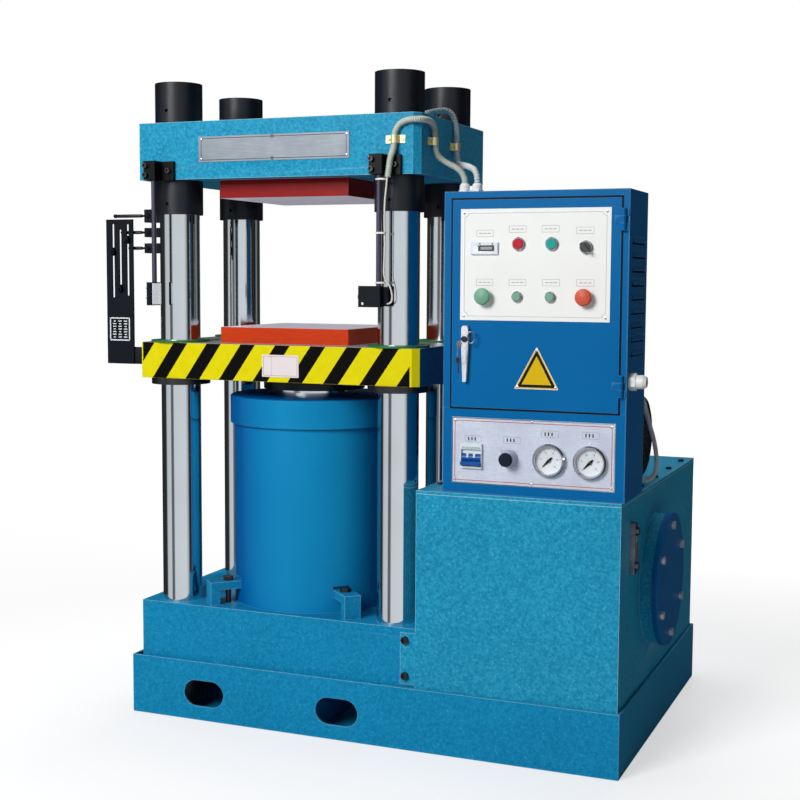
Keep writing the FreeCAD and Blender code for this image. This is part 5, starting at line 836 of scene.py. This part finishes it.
def drive_screws():
    """The small screws that hold the nameplate, the strip, the panel, the sign, the dials and the knob."""
    master = screw_head()
    for name, (body, slot, face, spots) in PLATE_SCREWS.items():
        set_out(master, [(x, face, z) for x, z in spots], name, body)
    shrink = Matrix.Diagonal((0.6, 0.8, 0.6, 1))
    around = [(KNOB_ALONG + KNOB_SCREW_RING * math.cos(math.radians(a)), STRIP_FACE,
               KNOB_LEVEL + KNOB_SCREW_RING * math.sin(math.radians(a))) for a in KNOB_SCREWS]
    rims = [(along + x, STRIP_FACE, DIAL_LEVEL + z) for along in DIALS.values() for x, z in DIAL_SCREWS]
    for name, spots in (("knob_screws", around), ("dial_screws", rims)):
        set_out(master, [Matrix.Translation(Vector(p) * MM) @ shrink for p in spots], name, "root")
    bpy.data.objects.remove(master)


def make_nameplate():
    """The bare plate's border: a fine black line with a ring at the middle of its top and bottom."""
    border("nameplate_line", *within("nameplate", 7, 7, 4.5, 4.5), PLATE_FACE, 1.2, 0.2, INK, "root",
           "bright_steel", 6)
    piece = begin("nameplate_ring", "circle", (0, 0, 0), (QUARTER, 0, 0), vertices=24, radius=4 * MM,
                  fill_type="NGON")
    all_faces()
    to_line(1.4, 0.4)
    close(piece, INK)
    (_, low), (_, high) = within("nameplate", 5, 5, 5, 5)
    spots = [(middle("nameplate")[0], PLATE_FACE, z) for z in (low, high)]
    set_out(piece, spots, "nameplate_rings", "root")
    bpy.data.objects.remove(piece)


# the printed plate on the table's front: its low and its high X and Z
TABLE_PLATE = ((-32.0, 874.5), (67.0, 928.5))


def make_caution_plate():
    """A bare printed plate in the middle of the table's front, with a border and an empty box."""
    (left, low), (right, high) = TABLE_PLATE
    printed = TABLE_FRONT - 1.0
    piece = sheet("table_plate", (left, low), (right, high), TABLE_FRONT, 1.5)
    to_plate(1.0, 0.3)
    close(piece, SIGN_PALE, "table")
    left, low, right, high = left + 4, low + 3.5, right - 4, high - 3.5
    border("table_plate_line", (left, low), (right, high), printed, 0.7, 0.12, RED_INK, "table",
           "bright_steel", 1)
    border("table_plate_box", (left, low), (left + 22, high), printed, 0.6, 0.12, GREY_INK, "table",
           "bright_steel")


def sign_triangle(name, inset):
    """A triangle on its base, moved in from the sign's edge, that looks to the front, in edit mode."""
    radius = (SIGN_HIGH - SIGN_LOW - inset * 3) / 1.5
    widen = (SIGN_SIDE - inset * 2 * math.sqrt(3)) / (radius * math.sqrt(3))
    return begin(name, "circle", (SIGN_ALONG, DOOR_FACE, SIGN_LOW + inset + radius / 2), (QUARTER, 0, 0),
                 (widen, 1, 1), vertices=3, radius=radius * MM, fill_type="NGON")


# the sign's layers: how far in each starts, the width of its line or None for a full plate, its thickness
SIGN_LAYERS = {
    "sign_plate": (0, None, 1.0, SIGN_YELLOW),
    "sign_rim": (0, 1.6, 1.25, SIGN_PALE),
    "sign_line": (4.0, 6.2, 1.2, INK),
}


def make_sign():
    """The triangular sign under the panel, bare, with a pale rim and a black line inside it."""
    for name, (inset, width, thick, finish) in SIGN_LAYERS.items():
        piece = sign_triangle(name, inset)
        bpy.ops.mesh.select_all(action="SELECT")
        if not inset:
            bpy.ops.mesh.bevel(offset=3 * MM, segments=3, affect="VERTICES")
        all_faces()
        if width:
            to_line(width, thick)
        else:
            to_plate(thick, 0.3)
        close(piece, finish, "door")


# the middle of each label box, as X and Z, over the panel's and over the strip's controls
PANEL_LABELS = [(536, 1217), (613, 1226), (689, 1226), (768, 1222), (536, 1107), (614, 1107), (692, 1107),
                (770, 1107)]
STRIP_LABELS = [(512, 749), (605, 750), (694, 768), (788, 769)]
LABEL_WIDE, LABEL_TALL = 40.0, 15.0


def label_parts():
    """The line of an empty label box and a dash, both at the origin, to be copied."""
    wide, tall = LABEL_WIDE / 2, LABEL_TALL / 2
    outline = sheet("label_box", (-wide, -tall), (wide, tall), 0, 1)
    to_line(0.7, 0.15)
    close(outline, GREY_INK)
    dash = sheet("label_dash", (-4, -0.8), (4, 0.8), 0, 0.5)
    to_plate(0.15)
    close(dash, GREY_INK)
    return outline, dash


def make_panel_print():
    """The panel's embossed inner line with hollow corners, with a grey line of painted shade along its inner
    edge, and an empty label box with three plain dashes over each control."""
    border("panel_line", *within("control_panel", 8, 8, 8, 8), PANEL_FACE, 1.6, 0.35, PANEL_ENAMEL, "door",
           "panel_white", 9, True)
    # a grey line just inside the raised one: painted shade of the embossing
    border("panel_line_shade", *within("control_panel", 9.2, 9.2, 9.2, 9.2), PANEL_FACE, 0.7, 0.4, GREY_INK,
           "door", "panel_white", 9, True)
    outline, dash = label_parts()
    set_out(outline, [(x, PANEL_FACE, z) for x, z in PANEL_LABELS], "panel_boxes", "door")
    set_out(dash, [(x + d, PANEL_FACE, z) for x, z in PANEL_LABELS for d in (-10, 0, 10)], "panel_dashes",
            "door")
    bpy.data.objects.remove(outline)
    bpy.data.objects.remove(dash)


def make_strip_print():
    """The strip's label boxes with three upright marks each, its red line and its bright rim."""
    outline, dash = label_parts()
    set_out(outline, [(x, STRIP_FACE, z) for x, z in STRIP_LABELS], "strip_boxes", "root")
    dash.data.materials[0] = INK
    upright = Matrix.Diagonal((0.35, 1, 5, 1))
    marks = [(x + d, STRIP_FACE, z) for x, z in STRIP_LABELS for d in (-11, -3, 5)]
    set_out(dash, [Matrix.Translation(Vector(p) * MM) @ upright for p in marks], "strip_dashes", "root")
    bpy.data.objects.remove(outline)
    bpy.data.objects.remove(dash)
    border("strip_line", *within("instrument_strip", 7, 7, 7, 7), STRIP_FACE, 1.5, 0.2, RED_INK, "root",
           "bright_steel", 8)
    border("strip_rim", *within("instrument_strip", 0.4, 0.4, 0.4, 0.4), STRIP_FACE, 2.0, 0.5, BRIGHT_METAL,
           "root", "bright_steel", 2)


def letters(name, text, size, place, face, thick, finish, body):
    """Figures as thin raised print that looks to the front, about their middle."""
    bpy.ops.object.select_all(action="DESELECT")
    bpy.ops.object.text_add(location=(0, 0, 0))
    piece = bpy.context.object
    piece.name = name
    piece.data.body = text
    piece.data.size = size * MM
    piece.data.align_x = "CENTER"
    piece.data.extrude = thick / 2 * MM
    piece.data.resolution_u = 3
    bpy.ops.object.convert(target="MESH")
    piece = bpy.context.object
    piece.data.transform(Matrix.Translation(Vector((place[0], face - thick / 2, place[1])) * MM)
                         @ Matrix.Rotation(QUARTER, 4, "X"))
    bpy.ops.object.mode_set(mode="EDIT")
    return close(piece, finish, body)


# how far the counter's window lies behind its front, and how thick its glass and its figures are
WINDOW_IN, WINDOW_THICK, FIGURE_THICK = 1.1, 0.3, 0.15


def make_counter():
    """The counter's dark window with its digits, and the two dots over it."""
    face = box("counter")[0][1]
    low, high = within("counter", 19.5, 8.5, 7.5, 7.5)
    along = (low[0] + high[0]) / 2
    piece = sheet("counter_window", low, high, face + WINDOW_IN, 0.8)
    to_plate(WINDOW_THICK)
    close(piece, BLACK_PLASTIC, "door")
    letters("counter_digits", "000000", 9.0, (along, low[1] + 2.9), face + WINDOW_IN - WINDOW_THICK,
            FIGURE_THICK, DIAL_WHITE, "door")
    dot = begin("counter_dot", "cylinder", (0, -0.4, 0), (QUARTER, 0, 0), vertices=16, radius=1.7 * MM,
                depth=0.8 * MM)
    ease(front, 0.3)
    close(dot, INK)
    level = box("counter")[1][2] - 3.6
    set_out(dot, [(along + x, face, level) for x in (-15, 15)], "counter_dots", "door")
    bpy.data.objects.remove(dot)


# ---------------------------------------------------------------- instruments
# the dial's face, its radius, the end of its marks and the ring of its figures; its scale and its sweep
DIAL_FACE, DIAL_RADIUS, MARK_END, FIGURE_RING = box("pressure_gauges")[0][1] + 11.0, 30.6, 27.6, 19.0
DIAL_TOP, DIAL_STEP, DIAL_SWEEP = 25, 5, 270
MARK_LONG, MARK_THICK = 4.0, 0.2


def dial_turn(value):
    """How far round the dial from its top a value stands."""
    return math.radians(DIAL_SWEEP * (value / DIAL_TOP - 0.5))


def dial_mark():
    """A long mark of the scale, at the top of a dial that stands at the origin."""
    mark = begin("dial_tick", "cube", (0, -MARK_THICK / 2, MARK_END - MARK_LONG / 2), (0, 0, 0),
                 (0.7, MARK_THICK, MARK_LONG), size=MM)
    ease(front, 0.05, 1)
    return close(mark, INK)


def scale_spots(along):
    """The places of a dial's marks; those between the figures are half as long and end on the same ring."""
    spots = []
    for value in range(DIAL_TOP + 1):
        length = 0.5 if value % DIAL_STEP else 1.0
        spots.append(Matrix.Translation(Vector((along, DIAL_FACE - 0.2, DIAL_LEVEL)) * MM)
                     @ Matrix.Rotation(dial_turn(value), 4, "Y")
                     @ Matrix.Translation((0, 0, MARK_END * MM * (1 - length)))
                     @ Matrix.Diagonal((0.6 + 0.4 * length, 1, length, 1)))
    return spots


def make_dials():
    """White dial sheets with a scale from 0 to 25 over three quarters of a turn, and the pointers' hubs."""
    mark = dial_mark()
    for side, along in DIALS.items():
        disc = begin("dial_sheet_" + side, "cylinder", (along, DIAL_FACE - 0.15, DIAL_LEVEL),
                     (QUARTER, 0, 0), vertices=64, radius=DIAL_RADIUS * MM, depth=0.3 * MM)
        pick(front_disc)
        sink(1.2, 0.2, 0.1)
        close(disc, DIAL_WHITE, "root")
        set_out(mark, scale_spots(along), "dial_ticks_" + side, "root")
        for value in range(0, DIAL_TOP + 1, DIAL_STEP):
            turn = dial_turn(value)
            spot = (along + FIGURE_RING * math.sin(turn), DIAL_LEVEL + FIGURE_RING * math.cos(turn) - 1.9)
            letters(f"dial_figure_{side}_{value}", str(value), 5.6, spot, DIAL_FACE - 0.2, FIGURE_THICK, INK,
                    "root")
        hub = begin("dial_hub_" + side, "cylinder", (along, DIAL_FACE - 4.5, DIAL_LEVEL), (QUARTER, 0, 0),
                    vertices=32, radius=3.4 * MM, depth=1.4 * MM)
        ease(front, 0.5)
        close(hub, BLACK_PLASTIC, "gauge_pointer_" + side)
    bpy.data.objects.remove(mark)


def make_breaker():
    """The white bridges that part the breaker's three linked toggles, the wall behind them and its line."""
    face, low = box("breaker_body")[0][1], box("breaker_body")[0][2]
    along = middle("breaker_body")[0]
    bridge = begin("toggle_bridge", "cube", (0, 0, 0), (0, 0, 0), (5.2, 9.0, 9.5), size=MM)
    ease(front, 0.8)
    close(bridge, WHITE_PLASTIC)
    set_out(bridge, [(along + x, face + 3, low + 29.5) for x in (-8, 8)], "breaker_bridges", "root")
    bpy.data.objects.remove(bridge)
    border("breaker_line", *within("breaker_body", 4, 4, 46, 7.5), face, 1.0, 0.15, START_GREEN, "root",
           "breaker_grey", 0.8)
    wall = sheet("breaker_wall", *within("breaker_body", 1.7, 1.7, 33.4, 13.2), face + 8.9)
    to_plate(1.2, 0.2)
    close(wall, WHITE_PLASTIC, "root")


# the lock: its middle, its front and the level of its cylinder
LOCK_ALONG, LOCK_FRONT = middle("lock_handle")[0], box("lock_handle")[0][1]
LOCK_LEVEL = box("lock_handle")[1][2] - 30.0
# each key: how far it lies from the lock in X and in Z, how many degrees it leans, and its metal
KEYS = [(-12.0, -10.0, 8, BRIGHT_METAL), (-13.5, -48.0, -4, BLACK_STEEL)]
KEY_THICK, KEY_SHOULDER, KEY_BLADE = 1.4, 2.0, 22.0


def make_lock_cylinder():
    """The lock's dark cylinder in the upper end of the handle, with the middle of its face sunk."""
    barrel = begin("lock_barrel", "cylinder", (LOCK_ALONG, LOCK_FRONT - 2, LOCK_LEVEL), (QUARTER, 0, 0),
                   vertices=32, radius=7 * MM, depth=4 * MM)
    ease(front_disc, 0.8)
    pick(front_disc)
    sink(2.2, 0.4, 0.8)
    close(barrel, BLACK_STEEL, "lock")


def make_grip():
    """The raised grip on the lock's handle, with a shallow hollow along it."""
    grip = begin("lock_grip", "cube", (LOCK_ALONG, LOCK_FRONT - 1.2, LOCK_LEVEL - 33), (0, 0, 0),
                 (9, 2.4, 44), size=MM)
    pick(front)
    sink(1.6, 0.4, 0.7)
    close(grip, HANDLE, "lock")


def make_keys():
    """A key ring to the right of the lock, and two keys to its left, each a bow over a narrow blade."""
    ring = begin("key_ring", "torus", (LOCK_ALONG + 17.5, LOCK_FRONT - 5, LOCK_LEVEL + 4),
                 (QUARTER, 0, math.radians(12)), (0.62, 1, 1), major_radius=13 * MM, minor_radius=1.6 * MM,
                 major_segments=40, minor_segments=10)
    close(ring, ROD_STEEL, "lock", 80)
    for number, (aside, drop, lean, metal) in enumerate(KEYS):
        x, z = LOCK_ALONG + aside, LOCK_LEVEL + drop
        key = sheet(f"key_{number}", (x - 4.5, z - 6), (x + 4.5, z + 6),
                    LOCK_FRONT - 3.6 - number * KEY_THICK, 2.5)
        to_plate(KEY_THICK, 0.25)
        pick(lambda f: f.normal.z < -0.9)
        bpy.ops.mesh.extrude_region_move(TRANSFORM_OT_translate={"value": (0, 0, -KEY_SHOULDER * MM)})
        bpy.ops.transform.resize(value=(0.55, 1, 1), center_override=Vector((x, LOCK_FRONT - 4, z - 8)) * MM)
        bpy.ops.mesh.extrude_region_move(TRANSFORM_OT_translate={"value": (0, 0, -KEY_BLADE * MM)})
        close(key, metal, "lock")
        key.data.transform(Matrix.Translation(Vector((x, 0, z)) * MM)
                           @ Matrix.Rotation(math.radians(lean), 4, "Y")
                           @ Matrix.Translation(Vector((-x, 0, -z)) * MM))


# the door's leaf, without its hinges, and how far the black strip of painted gap shade reaches past it
DOOR_LOW, DOOR_HIGH = within("control_panel", -20, -22, -200, -21)
GAP_SHADE_OUT, GAP_SHADE_WIDE, GAP_SHADE_THICK = 4.2, 3.4, 0.3


def make_gasket():
    """A black strip round the cabinet's door, shaped like a seal; it is painted shade that stands for the
    dark gap round the door.
    """
    face = box("cabinet_shell")[0][1]
    border("door_gap_shade", (DOOR_LOW[0] - GAP_SHADE_OUT, DOOR_LOW[1] - GAP_SHADE_OUT),
           (DOOR_HIGH[0] + GAP_SHADE_OUT, DOOR_HIGH[1] + GAP_SHADE_OUT), face, GAP_SHADE_WIDE, GAP_SHADE_THICK, INK,
           "root", "seal_rubber", 1.0)


# a sleeve's radius, and how far in from the lever's tip and from its root it ends
SLEEVE_RADIUS, SLEEVE_PAST_TIP, SLEEVE_FROM_ROOT = 4.4, 10.0, 21.0


def make_lever_sleeves():
    """The thick black sleeves on the arms of the three limit switches."""
    for number in (1, 2, 3):
        lever = f"limit_lever_{number}"
        tip, end = box(lever)[0][0] + SLEEVE_PAST_TIP, box(lever)[1][0] - SLEEVE_FROM_ROOT
        place = ((tip + end) / 2, *middle(lever)[1:])
        sleeve = begin(f"lever_sleeve_{number}", "cylinder", place, (0, QUARTER, 0), vertices=20,
                       radius=SLEEVE_RADIUS * MM, depth=(end - tip) * MM)
        ease(lambda f: abs(f.normal.x) > 0.9, 1.0)
        close(sleeve, RUBBER, lever)


def make_level_tube():
    """The clear tube of the level gauge on the tank's side."""
    (_, back, level), (outer, _, _) = middle("level_gauge"), box("level_gauge")[1]
    tube = begin("level_tube", "cylinder", (outer - 8, back, level), (0, 0, 0), (0.5, 0.62, 1), vertices=24,
                 radius=9 * MM, depth=58 * MM)
    pick(lambda f: abs(f.normal.z) > 0.9)
    bpy.ops.mesh.inset(thickness=1.2 * MM)
    close(tube, GAUGE_TUBE, "root")


# the fan's guard: the motor's end and axis, the radii of the rings, the wire's radius and the spokes' turns
MOTOR_END, MOTOR_BACK, MOTOR_AXIS = box("motor")[1][0], middle("motor")[1], 734.0
GUARD_RINGS, GUARD_WIRE, GUARD_SPOKES = (14, 28, 42, 56, 70, 83), 1.6, (0, 45, 90, 135)


def make_fan_guard():
    """The motor's fan cowl guard at its right end: rings on spokes over a dark disc."""
    disc = begin("fan_guard_back", "cylinder", (MOTOR_END + 0.4, MOTOR_BACK, MOTOR_AXIS), (0, QUARTER, 0),
                 vertices=48, radius=84 * MM, depth=0.8 * MM)
    pick(lambda f: f.normal.x > 0.9)
    sink(4, 2, 0.3)
    close(disc, RUBBER, "root")
    hub = (MOTOR_END + 2, MOTOR_BACK, MOTOR_AXIS)
    parts = []
    for radius in GUARD_RINGS:
        ring = begin(f"fan_guard_ring_{radius}", "torus", hub, (0, QUARTER, 0), major_radius=radius * MM,
                     minor_radius=GUARD_WIRE * MM, major_segments=48, minor_segments=8)
        parts.append(close(ring, MOTOR_ENAMEL, smooth=80))
    for turn in GUARD_SPOKES:
        spoke = begin(f"fan_guard_spoke_{turn}", "cylinder", hub, (math.radians(turn), 0, 0), vertices=8,
                      radius=GUARD_WIRE * MM, depth=2 * GUARD_RINGS[-1] * MM)
        pick(lambda f: len(f.verts) > 4)
        bpy.ops.mesh.inset(thickness=0.4 * MM)
        parts.append(close(spoke, MOTOR_ENAMEL, smooth=60))
    join(parts, "fan_guard", "root")


# the scale plate low on the limit plate, as X and Z, and the steps between its marks
LIMIT_LABEL = ((-551.0, 946.0), (-487.0, 1009.0))
MARK_COLUMNS, MARK_ROWS, MARK_STEP, MARK_RISE = 3, 7, 17.0, 7.0


def make_limit_label():
    """The framed scale plate low on the limit plate: black, with a white rim and a plain grid of marks."""
    (left, low), (right, high) = LIMIT_LABEL
    back = sheet("limit_label", (left, low), (right, high), LIMIT_FACE, 1)
    to_plate(0.8, 0.2)
    close(back, INK, "table")
    printed = LIMIT_FACE - 0.8
    border("limit_label_rim", (left + 1, low + 1), (right - 1, high - 1), printed, 3.2, 0.2, DIAL_WHITE,
           "table", "blackened_steel", 1)
    mark = sheet("limit_mark", (-6, -2), (6, 2), 0, 0.6)
    to_plate(0.2)
    close(mark, DIAL_WHITE)
    marks = []
    for column in range(MARK_COLUMNS):
        for row in range(MARK_ROWS):
            short = (column * MARK_ROWS + row) % 3 == 0
            place = Vector((left + 15.5 + MARK_STEP * column, printed, low + 10.5 + MARK_RISE * row)) * MM
            marks.append(Matrix.Translation(place) @ Matrix.Diagonal((0.55 if short else 0.85, 1, 0.7, 1)))
    set_out(mark, marks, "limit_marks", "table")
    bpy.data.objects.remove(mark)


# the reflector's sheet: its X and its thickness, depth and height; and the photo switch's lamp
REFLECTOR_FACE, REFLECTOR_SHEET = -308.6, (1.6, 38.0, 52.0)
LAMP_ALONG, LAMP_LEVEL, LAMP_RADIUS = 257.0, 1056.0, 3.4


def make_sensor_faces():
    """The reflector's pale prism face, and the photo switch's small lamp."""
    _, depth, level = middle("sensor_heads")
    face = begin("reflector_sheet", "cube", (REFLECTOR_FACE, depth, level), (0, 0, 0), REFLECTOR_SHEET,
                 size=MM)
    pick(lambda f: f.normal.x > 0.9)
    sink(1.5, 0.6, -0.4)
    close(face, PRISM_GREY, "root")
    lamp = begin("photo_switch_lamp", "uv_sphere", (LAMP_ALONG, box("sensor_heads")[0][1] + 3, LAMP_LEVEL),
                 (QUARTER, 0, 0), (1, 1, 0.45), segments=20, ring_count=10, radius=LAMP_RADIUS * MM)
    close(lamp, NYLON_WHITE, "root", 80)


# ---------------------------------------------------------------- conduits and cable
ROUTES = {
    "conduit_1": [(453, -130, 1336), (453, -130, 1364), (398, -138, 1390), (382.8, -146, 1412),
                  (382.8, -146, 1478), (385, -235, 1478), (338, -232.8, 1476), (317, -232.8, 1454),
                  (317, -232.8, 1416), (313, -252, 1388), (309, -252, 1346)],
    "conduit_2": [(484, -130, 1336), (484, -130, 1364), (446, -90, 1380), (411, -36, 1387),
                  (382.8, 2, 1395), (382.8, 2, 1524), (310, 8, 1524), (262, 8, 1503), (-290, -8, 1503),
                  (-345, -8, 1510), (-400, -8, 1510), (-400, -8, 1440), (-400, -30, 1392), (-400, -30, 1330)],
    "conduit_3": [(722, 120, 862), (750, 120, 862), (804, 90, 866), (840, 60, 838), (856, 46, 790),
                  (874, 41, 738), (882, 40, 694), (881, 40, 654), (858, 36, 636), (835, 12, 650),
                  (835, -14, 650)],
    "sensor_cable": [(308, -252, 1352), (305.5, -252, 1324), (301, -251, 1288), (300, -250, 1244),
                     (301.5, -250, 1196), (300, -250, 1150), (299, -250, 1116), (313, -249, 1100),
                     (321, -249, 1078), (319, -249, 1056), (306, -249, 1056)],
}


def line_along(route):
    """The points of the smooth line that a route's control points pull, in metres."""
    curve = bpy.data.curves.new("route", "CURVE")
    curve.dimensions = "3D"
    curve.resolution_u = 24
    spline = curve.splines.new("NURBS")
    spline.points.add(len(route) - 1)
    for point, place in zip(spline.points, route):
        point.co = (*(Vector(place) * MM), 1)
    spline.order_u = 3
    spline.use_endpoint_u = True
    holder = bpy.data.objects.new("route", curve)
    bpy.context.scene.collection.objects.link(holder)
    bpy.context.view_layer.update()
    mesh = bpy.data.meshes.new_from_object(holder)
    places = [v.co.copy() for v in mesh.vertices]
    bpy.data.objects.remove(holder)
    bpy.data.meshes.remove(mesh)
    return [p for n, p in enumerate(places) if n == 0 or (p - places[n - 1]).length > 1e-7]


# points across a rib, so that it reads as round
RIB_POINTS = 6


def hose_rings(line, crest, root, pitch):
    """The rings along a conduit: each one's middle, the two directions across it and its radius."""
    gone = [0.0]
    for here, there in zip(line, line[1:]):
        gone.append(gone[-1] + (there - here).length)
    steps = round(gone[-1] / (pitch * MM)) * RIB_POINTS if pitch else len(line) * 2
    rings, segment, side = [], 0, None
    for step in range(steps + 1):
        want = gone[-1] * step / steps
        while segment < len(line) - 2 and gone[segment + 1] < want:
            segment += 1
        share = (want - gone[segment]) / (gone[segment + 1] - gone[segment])
        place = line[segment].lerp(line[segment + 1], share)
        ahead = (line[min(segment + 2, len(line) - 1)] - line[max(segment - 1, 0)]).normalized()
        if side is None:
            side = ahead.orthogonal().normalized()
        side = (side - ahead * side.dot(ahead)).normalized()
        wave = 0.5 - 0.5 * math.cos(2 * math.pi * step / RIB_POINTS) if pitch else 1.0
        radius = (root + (crest - root) * min(1.0, wave * 1.25)) * MM
        rings.append((place, side, ahead.cross(side), radius))
    return rings


def hose(name, crest, root, pitch, finish, sides=14):
    """A conduit along its route. Its ribs stand a pitch apart; a plain sheath has no pitch."""
    mesh = bmesh.new()
    loops = [[mesh.verts.new(place + radius * (math.cos(a) * first + math.sin(a) * second))
              for a in (2 * math.pi * n / sides for n in range(sides))]
             for place, first, second, radius in hose_rings(line_along(ROUTES[name]), crest, root, pitch)]
    for one, two in zip(loops, loops[1:]):
        for n in range(sides):
            mesh.faces.new((one[n], one[(n + 1) % sides], two[(n + 1) % sides], two[n]))
    mesh.faces.new(list(reversed(loops[0])))
    mesh.faces.new(loops[-1])
    bmesh.ops.recalc_face_normals(mesh, faces=mesh.faces)
    data = bpy.data.meshes.new(name + "_sheath")
    mesh.to_mesh(data)
    mesh.free()
    piece = bpy.data.objects.new(name + "_sheath", data)
    bpy.context.scene.collection.objects.link(piece)
    data.materials.append(finish)
    alone(piece)
    bpy.ops.object.shade_smooth_by_angle(angle=math.radians(70))
    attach(piece, "root")
    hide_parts(name)


# the ties that hold the cable to the photo switch's rod: the rod's X and Y, and the level of each tie
ROD_ALONG, ROD_DEPTH, TIE_LEVELS = 287.0, -251.5, (1342.0, 1219.0, 1104.5)
TIE_RADIUS, TIE_WIDE, TIE_THICK, TIE_REACH = 7.4, 4.0, 1.1, 9.5


def tie_cable():
    """Nylon ties round the rod, drawn out on one side so that they take the cable in as well."""
    tie = begin("cable_tie", "cylinder", (0, 0, 0), (0, 0, 0), vertices=32, radius=TIE_RADIUS * MM,
                depth=TIE_WIDE * MM, end_fill_type="NOTHING")
    pick(lambda v: v.co.x > 0.001, "VERT")
    bpy.ops.transform.translate(value=(TIE_REACH * MM, 0, 0))
    bpy.ops.mesh.select_all(action="SELECT")
    bpy.ops.object.mode_set(mode="OBJECT")
    wall = tie.modifiers.new("wall", "SOLIDIFY")
    wall.thickness = TIE_THICK * MM
    wall.offset = 1
    bpy.ops.object.modifier_apply(modifier=wall.name)
    bpy.ops.object.mode_set(mode="EDIT")
    close(tie, NYLON_WHITE)
    set_out(tie, [(ROD_ALONG, ROD_DEPTH, z) for z in TIE_LEVELS], "cable_ties", "root")
    bpy.data.objects.remove(tie)


def run_conduits():
    """The three ribbed conduits and the photo switch's plain cable."""
    hose("conduit_1", 7.5, 5.7, 4.0, CONDUIT_PALE)
    hose("conduit_2", 7.5, 5.7, 6.6, CONDUIT_GREY)
    hose("conduit_3", 6.0, 4.6, 3.6, CONDUIT_GREY)
    hose("sensor_cable", 2.2, 2.2, None, CABLE_CREAM, 12)


stand_camera()
light_studio()
lay_floor()
finish_parts()
run_conduits()
tie_cable()
drive_screws()
make_nameplate()
make_caution_plate()
make_sign()
make_panel_print()
make_strip_print()
make_counter()
make_dials()
make_breaker()
make_lock_cylinder()
make_grip()
make_keys()
make_gasket()
make_lever_sleeves()
make_level_tube()
make_fan_guard()
make_limit_label()
make_sensor_faces()

bpy.context.scene.view_settings.view_transform = "Standard"
